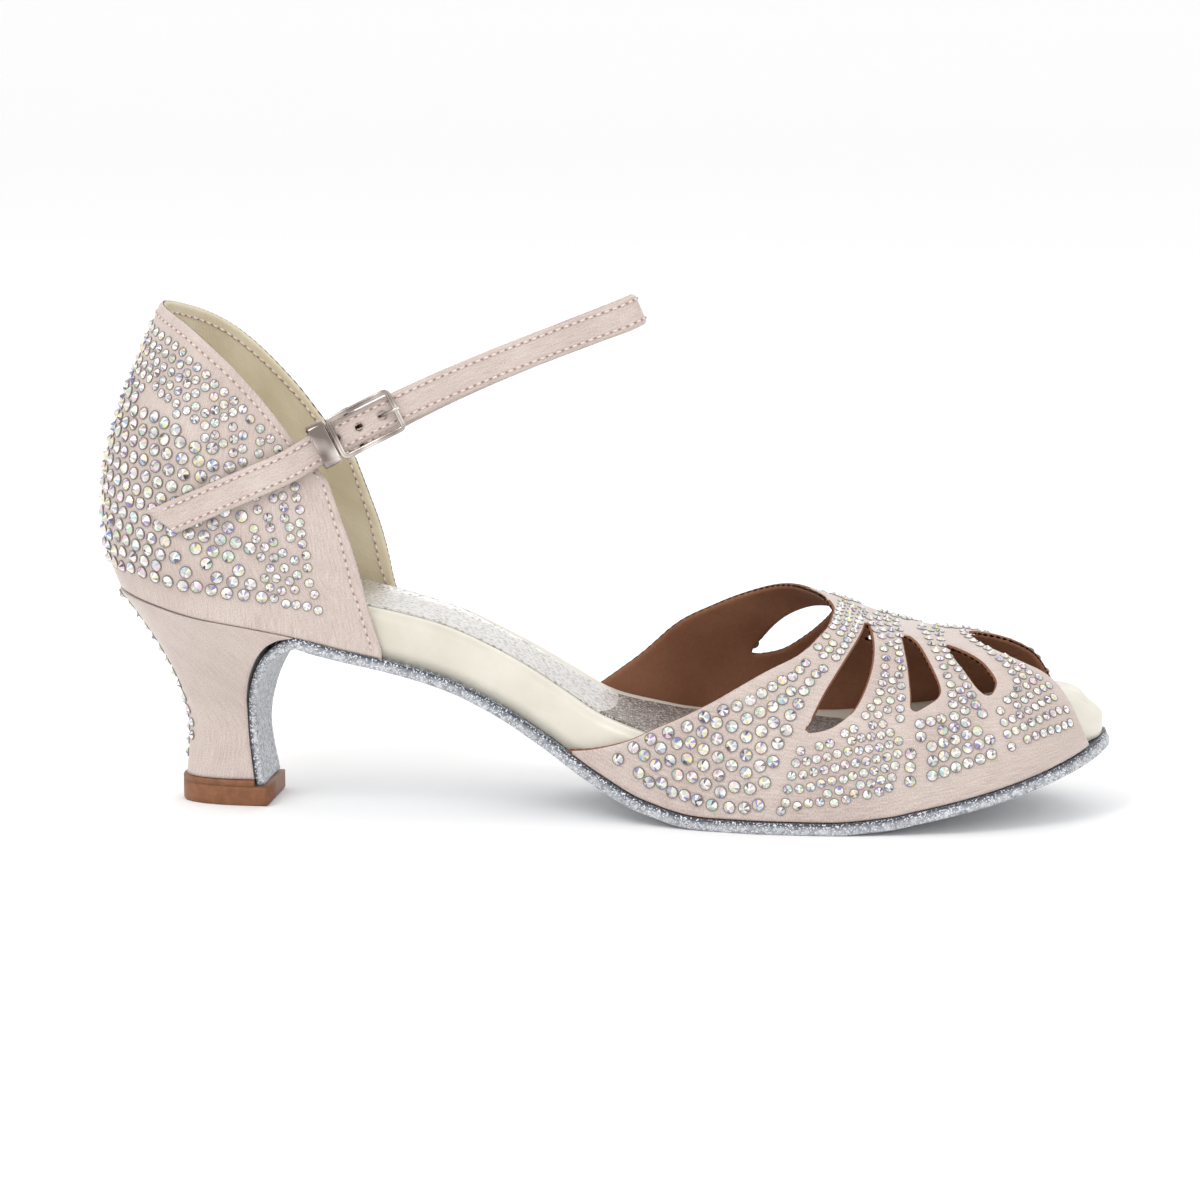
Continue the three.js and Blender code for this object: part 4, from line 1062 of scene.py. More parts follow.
def make_outsole():
    top = BREAST_PLACE + BREAST_SWEEP
    rings = []
    for share in np.linspace(0.997, share_at(top + BREAST_LEAD), 190):
        x = place(share)
        slope = feather(x + 0.5) - feather(x - 0.5)
        out = unit(np.array([slope, -1.0]))
        rings.append(
            plate_ring(
                (x, feather(x)), out, rim(share, -1, 0)[1], rim(share, 1, 0)[1], SOLE_THICK
            )
        )
    lead = [top + BREAST_LEAD, feather(top + BREAST_LEAD)]
    line, _ = catmull(np.vstack([lead, breast_path()]), 90)
    for k in range(6, 90):
        back = line[k]
        run = unit(line[min(k + 1, 89)] - line[k - 1])
        out = np.array([-run[1], run[0]])
        share = share_at(max(back[0], breast_at(back[1])))
        low = TOP_PIECE_HEIGHT + GAP
        up = np.clip((back[1] - low) / (feather(back[0]) - low), 0, 1)
        thick = lerp(SOLE_THICK, FLAP_THICK, min(1, k / 45))
        rings.append(
            plate_ring(back, out, -heel_half(up, share, -1), heel_half(up, share, 1), thick)
        )
    rings = np.array(rings)
    count, size = rings.shape[:2]
    # How far down each point of a section lies, 0 on the top face and 1 on the tread: the suede
    # paints shade on the top of the edge by it.
    share = np.zeros(size)
    share[15:22] = np.linspace(0.1, 0.95, 7)
    share[22:37] = 1
    share[37:44] = np.linspace(0.95, 0.1, 7)
    depth = np.tile(share, count)
    return loft("outsole_suede", rings, [SUEDE], ladder=False, floats={"depth": depth})


# Footbed and sock
def bed_section(share):
    seated = 1 - ease(place(share) / LENGTH, 0.08, 0.25)
    bare = ease(share, 0.93, 0.97)
    inset = SOLE_MARGIN + GAP + UPPER_WALL * (1 - bare) + FOOTBED_EASE * seated
    outer, inner = rim(share, -1, inset), rim(share, 1, inset)
    low = feather(place(share)) + 0.05
    high = SOLE_THICK + SEAT_RISE * BED["height"](place(share) / LENGTH)
    width = inner[1] - outer[1]
    full = min(FOOTBED_ROUND, width / 4, (high - low) / 2)
    toe = ease(place(share) / LENGTH, 0.82, 0.92)
    lean = min(lerp(FOOTBED_LEAN, TOE_LEAN, toe), width / 8)
    crest = lean + full
    return outer, inner, low, high, full, lean, crest, crest + width * 0.15


def make_footbed():
    rings = []
    for share in np.linspace(0.012, 0.99, 200):
        outer, inner, low, high, full, lean, crest, dish = bed_section(share)
        side = [(0.0, low)]
        side += [(lean * a, lerp(low, high - full, t)) for a, t in ((0.3, 0.4), (0.7, 0.8))]
        side += [
            (lean + full * (1 - math.cos(a)), high - full + full * math.sin(a))
            for a in np.linspace(0, math.pi / 2, 8)
        ]
        side += [
            (lerp(crest, dish, t), high - FOOTBED_DISH * t * t * (3 - 2 * t))
            for t in (0.25, 0.5, 0.75, 1)
        ]
        side = np.array(side)
        left = points(outer[0], outer[1] + side[:, 0], side[:, 1])
        right = points(inner[0], inner[1] - side[:, 0], side[:, 1])
        rings.append(np.vstack([left, right[::-1]]))
    return loft("footbed_cover", rings, [CREAM])


def make_sock():
    rings = []
    for share in np.linspace(0.115, 0.675, 190):
        outer, inner, _, high, _, _, crest, dish = bed_section(share)
        half = (inner[1] - outer[1]) / 2
        ahead = ease(share, 0.35, 0.5)
        narrow = lerp(SOCK_MARGIN, SOCK_FRONT_MARGIN, ahead)
        end = np.clip((share - 0.56) / 0.115, 0, 1)
        start = crest + narrow + (half - crest - narrow - 0.5) * (1 - math.sqrt(1 - end**3 * 0.995))
        inward = lerp(start, max(dish, start + 0.3), np.linspace(0, 1, 6))
        t = np.clip((inward - crest) / (dish - crest), 0, 1)
        side = np.stack([inward, high - FOOTBED_DISH * t * t * (3 - 2 * t)], -1)
        body = np.vstack(
            [
                points(outer[0], outer[1] + side[:, 0], side[:, 1]),
                points(inner[0], inner[1] - side[:, 0], side[:, 1])[::-1],
            ]
        )
        top = body + (0, 0, SOCK_THICK * 0.8)
        top[0] = lerp(body[0], body[1], 0.25) + (0, 0, SOCK_THICK * 0.6)
        top[-1] = lerp(body[-1], body[-2], 0.25) + (0, 0, SOCK_THICK * 0.6)
        rings.append(np.vstack([body - (0, 0, 0.1), top[::-1]]))
    return loft("sock_lining", rings, [SOCK], ladder=False)


# Heel and top piece: how full their D-shaped sections are
DEEP_POWER, WIDE_POWER = 0.87, 0.8


def heel_ring(up, count=81):
    low = TOP_PIECE_HEIGHT + GAP
    front = BREAST_PLACE + BREAST_SWEEP - GAP
    seat_share = HEEL["seat"](up)
    chest_z = lerp(low, feather(front), up)
    chest = front if up >= 1 else min(front, breast_at(chest_z) - GAP)
    back = BREAST_PLACE * HEEL["back"](up)
    angles = np.linspace(-np.pi / 2, np.pi / 2, count)
    side = np.where(angles < 0, -1.0, 1.0)
    deep = np.maximum(0, np.cos(angles)) ** DEEP_POWER
    wide = np.abs(np.sin(angles)) ** WIDE_POWER
    plain = HEEL["width"](up) * HEEL_BASE_WIDTH * wide / 2
    seat = quarter_at(side * seat_turn(front * (1 - deep)), 0.0)
    x = np.minimum(chest, lerp(lerp(chest, back, deep), seat[:, 0], seat_share))
    y = side * lerp(plain, np.abs(seat[:, 1]), seat_share)
    return points(x, y, lerp(low, feather(np.maximum(0, x)), up))


def make_heel():
    levels = np.concatenate([np.linspace(0, 0.9, 46), np.linspace(0.91, 0.999, 14)])
    rings = [heel_ring(up) for up in levels]
    made = []
    for ring in rings:
        a, b = ring[0], ring[-1]
        left = [lerp(a, b, t) for t in (0.5, 0.3, 0.1, 0.02)]
        right = [lerp(b, a, t) for t in (0.02, 0.1, 0.3, 0.5)]
        made.append(np.vstack([left, ring, right]))
    made = np.array(made)
    steps = np.linalg.norm(np.diff(made, axis=1), axis=2)
    run = np.concatenate([np.zeros((len(made), 1)), np.cumsum(steps, axis=1)], axis=1)
    run -= run[:, -1:] / 2
    uv = np.stack([made[..., 2], run], -1).reshape(-1, 2) / 1000
    return loft("heel_cover", made, [SATIN], uv=uv)


def make_top_piece():
    back = BREAST_PLACE * HEEL["back"](0.0) - TOP_PIECE_MARGIN
    low = TOP_PIECE_HEIGHT - TOP_PIECE_NOTCH
    notch = breast_at(low) - GAP
    front = notch + GAP + FLAP_THICK + TOP_PIECE_MARGIN
    half = HEEL_BASE_WIDTH / 2 + TOP_PIECE_MARGIN
    angles = np.linspace(-np.pi / 2, np.pi / 2, 73)

    def ring(z, chest, shrink):
        deep = np.maximum(0, np.cos(angles)) ** DEEP_POWER
        wide = np.sign(angles) * np.abs(np.sin(angles)) ** WIDE_POWER
        x = np.minimum(chest - shrink, lerp(front, back + shrink, deep))
        return points(x, wide * (half - shrink), z)

    rings = [ring(0, front, 0.5), ring(0.15, front, 0.2), ring(0.5, front, 0)]
    rings += [ring(z, front, 0) for z in (1.6, 2.6, 3.6, low - 0.2)]
    rings += [ring(low, front, 0.1), ring(low, notch, 0), ring(TOP_PIECE_HEIGHT - 0.2, notch, 0)]
    rings += [ring(TOP_PIECE_HEIGHT + 0.1, notch, 0.15)]
    return loft("heel_tip", rings, [RUBBER])


# Strap
CLIMB = math.radians(STRAP_ANGLE)
ALONG = np.array([math.cos(CLIMB), 0, math.sin(CLIMB)])
ACROSS = np.array([-math.sin(CLIMB), 0, math.cos(CLIMB)])
TAIL = np.array([TAIL_PLACE, 0, SOLE_THICK + SEAT_RISE - SEAT_DROP + TAIL_HEIGHT])


def strap_spot(run, side):
    full = 0 if side < 0 else STRAP_FALL
    last = STRAP_RUN - FOLD_RADIUS
    held_run = min(run, FREE_FROM)
    p = TAIL + ALONG * held_run - ACROSS * full
    turn, up = quarter_turn(p[0], p[2], side)
    held = abs(float(quarter_at(turn, up)[1])) + STONE_RISE + STRAP_THICK / 2
    share = np.clip((run - FREE_FROM) / (last - FREE_FROM), 0, 1)
    fall = full * (1 - share) - STRAP_BOW * math.sin(math.pi * share**0.8)
    reach = REACH["out"]
    out = lerp(FOLD_RADIUS, held, (reach(share) - reach(1.0)) / (1 - reach(1.0)))
    spot = TAIL + ALONG * run - ACROSS * fall
    spot[1] = side * out
    return spot


def strap_line():
    runs = [s * (STRAP_RUN - FOLD_RADIUS) for s in STRAP_STATIONS]
    outer = [strap_spot(run, -1) for run in runs]
    inner = [strap_spot(run, 1) for run in runs if run >= INNER_END]
    fold = []
    for degrees in (-45, 0, 45):
        angle = math.radians(degrees)
        spot = TAIL + ALONG * (STRAP_RUN - FOLD_RADIUS + FOLD_RADIUS * math.cos(angle))
        spot[1] = FOLD_RADIUS * math.sin(angle)
        fold.append(spot)
    return catmull(np.array(outer + fold + inner[::-1]), 4001, centripetal=True)


STRAP_PATH, STRAP_LENGTH = strap_line()
STRAP_AT = np.linspace(0, STRAP_LENGTH, len(STRAP_PATH))
STRAP_WAY = unit(np.gradient(STRAP_PATH, axis=0))


def on_strap(s):
    """The strap's middle and its direction at runs from the tail."""
    return at_runs(s, STRAP_AT, STRAP_PATH), unit(at_runs(s, STRAP_AT, STRAP_WAY))


def strap_face(s, t):
    mid, way = on_strap(np.clip(s, 0, STRAP_LENGTH))
    mid = mid + way * np.minimum(s, 0)[:, None]
    normal = unit(np.cross(way, ACROSS))
    return mid + ACROSS * np.asarray(t)[:, None], normal


PRONG_HOLE = BUCKLE_LENGTH / 2 - 4


def make_strap():
    half = STRAP_WIDTH / 2
    soft = 0.9
    tail = [(TAIL_BEVEL, half), (-TAIL_BEVEL, -half)]
    outline = [tail[0], tail[1], (STRAP_LENGTH - soft, -half), (STRAP_LENGTH, -half + soft)]
    outline += [(STRAP_LENGTH, half - soft), (STRAP_LENGTH - soft, half)]
    angles = np.linspace(0, 2 * np.pi, 28, endpoint=False)
    holes = []
    for k in range(3):
        s = BUCKLE_PLACE + PRONG_HOLE - k * HOLE_PITCH
        holes.append(np.stack([s + HOLE_RADIUS * np.cos(angles), HOLE_RADIUS * np.sin(angles)], -1))
    return shell(
        "strap_band", strap_face, outline, holes, 1.2, STRAP_THICK, [SATIN, SATIN], centred=True
    )


# Buckle, drawn in the strap's own frame: x along it, y across it and z outwards
OVER = STRAP_THICK / 2 + GAP
HINGE_DEPTH = -(OVER + HINGE_RADIUS + TAB_THICK + GAP)


def buckle_frame():
    mid, way = on_strap(np.array([BUCKLE_PLACE]))
    mid, way = mid[0], way[0]
    across = unit(ACROSS - way * (ACROSS @ way))
    return mid, np.stack([way, across, np.cross(way, across)])


def to_shoe(spots):
    mid, axes = buckle_frame()
    return mid + np.asarray(spots) @ axes


def sweep(path, section, closed, up):
    """Rings of a section, as pairs (aside, up), along a path."""
    path = np.asarray(path, float)
    if closed:
        way = unit(np.roll(path, -1, axis=0) - np.roll(path, 1, axis=0))
    else:
        way = unit(np.gradient(path, axis=0))
    up = np.broadcast_to(np.array(up, float), way.shape)
    aside = unit(np.cross(way, up))
    top = unit(np.cross(aside, way))
    return np.array(
        [p + section[:, :1] * a + section[:, 1:] * t for p, a, t in zip(path, aside, top)]
    )


def soft_box(wide, high, radius, count=3):
    """A rectangle with round corners, as pairs."""
    made = []
    for cx, cy, start in ((1, 1, 0), (-1, 1, 1), (-1, -1, 2), (1, -1, 3)):
        for k in range(count + 1):
            angle = (start + k / count) * math.pi / 2
            made.append(
                (
                    cx * (wide / 2 - radius) + radius * math.cos(angle),
                    cy * (high / 2 - radius) + radius * math.sin(angle),
                )
            )
    return np.array(made)


def ring_solid(rings, closed):
    rings = np.asarray(rings)
    count, size = rings.shape[:2]
    faces = ring_faces(count, size)
    if closed:
        last = (count - 1) * size
        faces += [(last + j, last + (j + 1) % size, (j + 1) % size, j) for j in range(size)]
    else:
        faces += [tuple(range(size)), tuple(reversed(range((count - 1) * size, count * size)))]
    return rings.reshape(-1, 3), faces


def joined(name, parts, materials):
    verts, faces, start = [], [], 0
    for v, f in parts:
        verts.append(v)
        faces += [tuple(start + i for i in face) for face in f]
        start += len(v)
    return face_out(make_object(name, to_shoe(np.vstack(verts)), faces, materials))


def make_buckle_frame():
    z = OVER + BAR / 2
    path = soft_box(BUCKLE_LENGTH - BAR, BUCKLE_WIDTH - BAR, 1.0, 6)
    path = np.column_stack([resample(path, 0.5), np.full(len(resample(path, 0.5)), z)])
    ring = ring_solid(sweep(path, soft_box(BAR, BAR, 0.35), True, (0, 0, 1)), True)
    lug_high = OVER - HINGE_DEPTH + HINGE_RADIUS
    parts = [ring]
    for hand in (-1, 1):
        y = hand * (BUCKLE_WIDTH / 2 - BAR / 2)
        line = [(-HINGE_BACK, y, OVER + 0.3), (-HINGE_BACK, y, OVER + 0.3 - lug_high)]
        parts.append(ring_solid(sweep(line, soft_box(BAR, 2.0, 0.3), False, (1, 0, 0)), False))
    bar = soft_box(2 * HINGE_RADIUS, 2 * HINGE_RADIUS, HINGE_RADIUS * 0.98, 4)
    half = BUCKLE_WIDTH / 2 - BAR / 2
    line = [(-HINGE_BACK, -half, HINGE_DEPTH), (-HINGE_BACK, half, HINGE_DEPTH)]
    parts.append(ring_solid(sweep(line, bar, False, (0, 0, 1)), False))
    return joined("buckle_ring", parts, [NICKEL])


def make_prong():
    turn = HINGE_RADIUS + GAP + PRONG_RADIUS
    spots = []
    for degrees in (-200, -150, -100, -50, 0):
        angle = math.radians(degrees)
        x, z = turn * math.cos(angle) - HINGE_BACK, HINGE_DEPTH + turn * math.sin(angle)
        spots.append((x, 0, z))
    top = OVER + BAR + PRONG_RADIUS
    spots += [
        (PRONG_HOLE - 1, 0, -OVER - PRONG_RADIUS),
        (PRONG_HOLE, 0, 0),
        (PRONG_HOLE + 0.6, 0, OVER + PRONG_RADIUS),
        (BUCKLE_LENGTH / 2 - BAR_END / 2, 0, top),
        (BUCKLE_LENGTH / 2 + 0.4, 0, top - 0.1),
    ]
    path, _ = catmull(np.array(spots, float), 70, centripetal=True)
    section = soft_box(2.2 * PRONG_RADIUS, 2 * PRONG_RADIUS, PRONG_RADIUS * 0.9, 4)
    rings = sweep(path, section, False, (0, 1, 0))
    shrink = np.ones(len(path))
    shrink[-3:] = (0.9, 0.7, 0.35)
    rings = path[:, None] + (rings - path[:, None]) * shrink[:, None, None]
    return joined("prong", [ring_solid(rings, False)], [NICKEL])


# The name plate is wider than the plain band of the CAD keeper
KEEPER_PLATE = 4.2


def make_keeper():
    inside_z = HINGE_DEPTH - TAB_THICK
    depth = OVER - inside_z + 2 * KEEPER_WALL
    path = soft_box(BUCKLE_WIDTH - KEEPER_WALL, depth - KEEPER_WALL, 0.8, 5)
    path = resample(path, 0.5)
    x = -BUCKLE_LENGTH / 2 - GAP - KEEPER_PLATE / 2
    path = np.column_stack([np.full(len(path), x), path[:, 0], path[:, 1] + (OVER + inside_z) / 2])
    section = soft_box(KEEPER_WALL, KEEPER_PLATE, 0.3)
    return joined("keeper", [ring_solid(sweep(path, section, True, (1, 0, 0)), True)], [NICKEL])


# Crystals and stitches: repeated by Geometry Nodes on points that carry their own direction
def geometry_tree(name, sizes):
    """A tree of Geometry Nodes with the points as its first input and named sizes."""
    tree = bpy.data.node_groups.new(name, "GeometryNodeTree")
    tree.interface.new_socket("Points", in_out="INPUT", socket_type="NodeSocketGeometry")
    for label, value in sizes.items():
        socket = tree.interface.new_socket(label, in_out="INPUT", socket_type="NodeSocketFloat")
        socket.default_value = value
    tree.interface.new_socket("Geometry", in_out="OUTPUT", socket_type="NodeSocketGeometry")
    return tree, tree.nodes.new("NodeGroupInput"), tree.nodes.new("NodeGroupOutput")


def named(tree, label, kind):
    node = add(tree, "GeometryNodeInputNamedAttribute", {"Name": label}, data_type=kind)
    return out_of(node, "Attribute")


def stored(tree, geometry, label, value, domain):
    """The geometry with a number stored on its points, faces or instances."""
    inputs = {"Geometry": geometry, "Name": label, "Value": value}
    kind = "GeometryNodeStoreNamedAttribute"
    return add(tree, kind, inputs, data_type="FLOAT", domain=domain).outputs[0]


def crystal_tree():
    """A faceted dome on a thin girdle, on every point, scaled by the point's own width."""
    tree, given, made = geometry_tree("set_crystals", {"Rise": 0.27, "Table": 0.1, "Seed": 7})
    dome = add(
        tree,
        "GeometryNodeMeshCone",
        {
            "Vertices": 10,
            "Radius Top": given.outputs["Table"],
            "Radius Bottom": 0.43,
            "Depth": given.outputs["Rise"],
        },
    )
    index = tree.nodes.new("GeometryNodeInputIndex").outputs[0]
    marked = stored(tree, out_of(dome, "Mesh"), "facet", index, "FACE")
    lifted = add(
        tree,
        "GeometryNodeTransform",
        {"Geometry": marked, "Translation": (0, 0, 0.1)},
    )
    girdle = add(tree, "GeometryNodeMeshCylinder", {"Vertices": 14, "Radius": 0.5, "Depth": 0.2})
    rimmed = stored(tree, out_of(girdle, "Mesh"), "facet", -1.0, "FACE")
    stone = add(tree, "GeometryNodeJoinGeometry")
    tree.links.new(rimmed, stone.inputs[0])
    tree.links.new(lifted.outputs[0], stone.inputs[0])
    seed = given.outputs["Seed"]
    facing = add(
        tree,
        "FunctionNodeAlignRotationToVector",
        {"Vector": named(tree, "out", "FLOAT_VECTOR")},
        axis="Z",
    )
    turns = {"Min": 0.0, "Max": 6.28, "Seed": seed}
    spin = add(tree, "FunctionNodeRandomValue", turns, data_type="FLOAT")
    around = add(
        tree,
        "FunctionNodeAxisAngleToRotation",
        {"Axis": (0, 0, 1), "Angle": out_of(spin, "Value")},
    )
    turned = add(
        tree,
        "FunctionNodeRotateRotation",
        {"Rotation": facing.outputs[0], "Rotate By": around.outputs[0]},
        rotation_space="LOCAL",
    )
    placed_stones = add(
        tree,
        "GeometryNodeInstanceOnPoints",
        {
            "Points": given.outputs["Points"],
            "Instance": stone.outputs[0],
            "Rotation": turned.outputs[0],
            "Scale": named(tree, "wide", "FLOAT_VECTOR"),
        },
    )
    # A random number for each stone, from which the colours of its painted reflections are drawn.
    reflection_pick = add(tree, "FunctionNodeRandomValue", {"Min": 0.0, "Max": 1.0}, data_type="FLOAT")
    reflection_seeded = stored(tree, placed_stones.outputs[0], "reflection_seed", out_of(reflection_pick, "Value"), "INSTANCE")
    real = add(tree, "GeometryNodeRealizeInstances", {"Geometry": reflection_seeded})
    done = add(tree, "GeometryNodeSetMaterial", {"Geometry": real.outputs[0], "Material": CRYSTAL})
    tree.links.new(done.outputs[0], made.inputs[0])
    return tree


def stitch_tree():
    """A round-ended stitch on every point, along the point's own way, with a flat bead sunk in the
    stitch hole at its end that carries painted shade.
    """
    tree, given, made = geometry_tree("sew_stitches", {"Length": 0.0015, "Thread": 0.0006})
    bead = add(tree, "GeometryNodeMeshUVSphere", {"Segments": 6, "Rings": 6, "Radius": 0.5})
    size = add(
        tree,
        "ShaderNodeCombineXYZ",
        {"X": given.outputs["Length"], "Y": given.outputs["Thread"], "Z": given.outputs["Thread"]},
    )
    # The bead in the stitch hole: a dark thing in place of the shade in the dent.
    dent = add(
        tree,
        "GeometryNodeTransform",
        {
            "Geometry": out_of(bead, "Mesh"),
            "Translation": (0.68, 0, -0.05),
            "Scale": (0.42, 0.9, 0.7),
        },
    )
    both = add(tree, "GeometryNodeJoinGeometry")
    for part, hole_shade in ((out_of(bead, "Mesh"), 0.0), (out_of(dent, "Geometry"), 1.0)):
        tree.links.new(stored(tree, part, "hole_shade", hole_shade, "POINT"), both.inputs[0])
    smoothed = add(tree, "GeometryNodeSetShadeSmooth", {"Geometry": both.outputs[0]})
    along = add(
        tree,
        "FunctionNodeAlignRotationToVector",
        {"Vector": named(tree, "way", "FLOAT_VECTOR")},
        axis="X",
    )
    upright = add(
        tree,
        "FunctionNodeAlignRotationToVector",
        {"Rotation": along.outputs[0], "Vector": named(tree, "out", "FLOAT_VECTOR")},
        axis="Z",
        pivot_axis="X",
    )
    sewn = add(
        tree,
        "GeometryNodeInstanceOnPoints",
        {
            "Points": given.outputs["Points"],
            "Instance": smoothed.outputs[0],
            "Rotation": upright.outputs[0],
            "Scale": size.outputs[0],
        },
    )
    real = add(tree, "GeometryNodeRealizeInstances", {"Geometry": sewn.outputs[0]})
    done = add(tree, "GeometryNodeSetMaterial", {"Geometry": real.outputs[0], "Material": THREAD})
    tree.links.new(done.outputs[0], made.inputs[0])
    return tree


def grown(name, tree, spots, vectors):
    """The plain mesh that a tree makes on spots with vector attributes."""
    mesh = bpy.data.meshes.new(name + "_points")
    mesh.from_pydata(((np.asarray(spots) - ORIGIN) / 1000).tolist(), [], [])
    for label, values in vectors.items():
        held = mesh.attributes.new(label, "FLOAT_VECTOR", "POINT")
        held.data.foreach_set("vector", np.asarray(values, np.float32).ravel())
    seed = bpy.data.objects.new(name + "_points", mesh)
    bpy.context.scene.collection.objects.link(seed)
    modifier = seed.modifiers.new("grow", "NODES")
    modifier.node_group = tree
    shown = seed.evaluated_get(bpy.context.evaluated_depsgraph_get())
    plain = bpy.data.meshes.new_from_object(shown)
    plain.name = name
    seed.modifiers.clear()
    bpy.data.objects.remove(seed)
    made = bpy.data.objects.new(name, plain)
    bpy.context.scene.collection.objects.link(made)
    return made


CRYSTALS = crystal_tree()
STITCHES = stitch_tree()


STITCH_PITCH, STITCH_LIFT = 2.05, 0.08


def set_crystals(name, spots, normals, widths):
    wide = np.repeat(np.asarray(widths, float)[:, None] / 1000, 3, axis=1)
    return grown(name, CRYSTALS, spots, {"out": normals, "wide": wide})


def sew(name, runs, faces):
    """Stitches at an even pitch along flat lines; each line goes with its face."""
    spots, ways, outs = [], [], []
    for line, (face, lift) in zip(runs, faces):
        fine = resample(np.asarray(line, float), 0.3, closed=False)
        mid, normal = face(fine[:, 0], fine[:, 1])
        mid = mid + normal * lift
        run = run_of(mid)
        at = np.arange(STITCH_PITCH / 2, run[-1], STITCH_PITCH)
        spots.append(at_runs(at, run, mid))
        ways.append(unit(at_runs(at, run, unit(np.gradient(mid, axis=0)))))
        outs.append(unit(at_runs(at, run, normal)))
    vectors = {"way": np.vstack(ways), "out": np.vstack(outs)}
    return grown(name, STITCHES, np.vstack(spots), vectors)


# Stones on the vamp: each panel is an outline of the outermost stones, and a guide line that its
# rows follow, in shares of the length and of the girth, with the widths of its stones by girth.
VAMP_PANELS = [
    # the wing beside the throat, with large stones, and the band up to the crown
    (
        [
            [0.522, -0.942], [0.557, -0.853], [0.589, -0.8], [0.621, -0.737], [0.65, -0.686],
            [0.676, -0.618], [0.698, -0.549], [0.715, -0.459], [0.725, -0.365], [0.733, -0.255],
            [0.736, -0.1], [0.736, 0.0], [0.758, 0.0], [0.757, -0.15], [0.752, -0.264],
            [0.74, -0.415], [0.725, -0.505], [0.711, -0.594], [0.702, -0.66], [0.691, -0.758],
            [0.679, -0.848], [0.662, -0.978], [0.63, -0.975], [0.597, -0.967], [0.56, -0.955],
        ],
        [
            [0.5, -0.985], [0.531, -0.9], [0.588, -0.79], [0.626, -0.71], [0.664, -0.62],
            [0.702, -0.49], [0.722, -0.36], [0.735, -0.2], [0.735, 0.05],
        ],
        [[0.0, 2.1], [0.3, 2.2], [0.5, 2.35], [0.62, 2.7], [0.75, 3.1], [1.0, 3.1]],
    ),
    # under the large cut-out and up between it and the middle one, with small stones
    (
        [
            [0.687, -0.975], [0.698, -0.888], [0.709, -0.8], [0.735, -0.778], [0.76, -0.709],
            [0.778, -0.6], [0.784, -0.5], [0.786, -0.413], [0.783, -0.273], [0.768, -0.15],
            [0.76, 0.0], [0.788, 0.0], [0.797, -0.15], [0.796, -0.272], [0.8, -0.4], [0.802, -0.6],
            [0.8, -0.8], [0.792, -0.908], [0.741, -0.945],
        ],
        [
            [0.66, -0.978], [0.69, -0.972], [0.73, -0.95], [0.766, -0.924], [0.8, -0.9],
            [0.83, -0.87],
        ],
        [[0.0, 2.1], [0.4, 2.15], [0.7, 2.2], [1.0, 2.35]],
    ),
    # under the middle cut-out and up between it and the small one
    (
        [
            [0.813, -0.902], [0.814, -0.8], [0.815, -0.683], [0.842, -0.655], [0.853, -0.577],
            [0.853, -0.5], [0.842, -0.363], [0.824, -0.153], [0.814, 0.0], [0.833, 0.0],
            [0.838, -0.15], [0.85, -0.335], [0.861, -0.429], [0.868, -0.528], [0.879, -0.62],
            [0.887, -0.73], [0.892, -0.853], [0.855, -0.879],
        ],
        [[0.8, -0.915], [0.828, -0.895], [0.855, -0.879], [0.88, -0.868], [0.91, -0.84]],
        [[0.0, 2.1], [0.45, 2.2], [0.6, 2.5], [0.8, 2.75], [1.0, 2.8]],
    ),
    # beside the peep toe
    (
        [
            [0.911, -0.834], [0.905, -0.73], [0.899, -0.624], [0.914, -0.526], [0.915, -0.433],
            [0.897, -0.281], [0.872, -0.14], [0.856, 0.0], [0.868, 0.0], [0.886, -0.16],
            [0.908, -0.292], [0.931, -0.373], [0.953, -0.497], [0.963, -0.6], [0.968, -0.72],
            [0.955, -0.775], [0.931, -0.806],
        ],
        [[0.905, -0.85], [0.93, -0.82], [0.955, -0.79], [0.975, -0.75]],
        [[0.0, 2.1], [0.5, 2.15], [0.8, 2.25], [1.0, 2.3]],
    ),
]
# How far forward a place on the outer side lies, beside its match on the inner side
INNER_MATCH = table(
    ["outer", "inner"],
    [
        [0.5, 0.46], [0.6, 0.55], [0.7, 0.635], [0.745, 0.68], [0.82, 0.78], [0.87, 0.848],
        [0.95, 0.94],
    ],
)


def girth_lengths():
    """Half the vamp's girth, in millimetres, along the outer and the inner side."""
    along = np.linspace(0.45, 0.99, 40)
    girths = np.linspace(0, 0.999, 200)
    made = []
    for side in (-1, 1):
        lines = vamp_at(share_at(along * LENGTH)[:, None], side * girths[None, :])
        made.append(np.linalg.norm(np.diff(lines, axis=1), axis=2).sum(axis=1))
    return along, made[0], made[1]


GIRTHS = girth_lengths()


def girth_at(along, side):
    return np.interp(along, GIRTHS[0], GIRTHS[1] if side < 0 else GIRTHS[2])


def true_vamp(pairs, side):
    """Places in shares as millimetres along and round the vamp at their real size."""
    pairs = np.asarray(pairs, float)
    return np.stack([pairs[:, 0] * LENGTH, pairs[:, 1] * girth_at(pairs[:, 0], side)], -1)


def spread(samples, weights, starts, rounds=45):
    """Starts eased apart: each moves to the middle of the weighted samples nearest to it."""
    spots = np.array(starts, float)
    count = len(spots)
    for _ in range(rounds):
        near = (2 * samples @ spots.T - (spots**2).sum(axis=1)).argmax(axis=1)
        mass = np.bincount(near, weights, count)
        held = mass > 0
        for k in range(samples.shape[1]):
            total = np.bincount(near, weights * samples[:, k], count)
            spots[held, k] = total[held] / mass[held]
    return spots


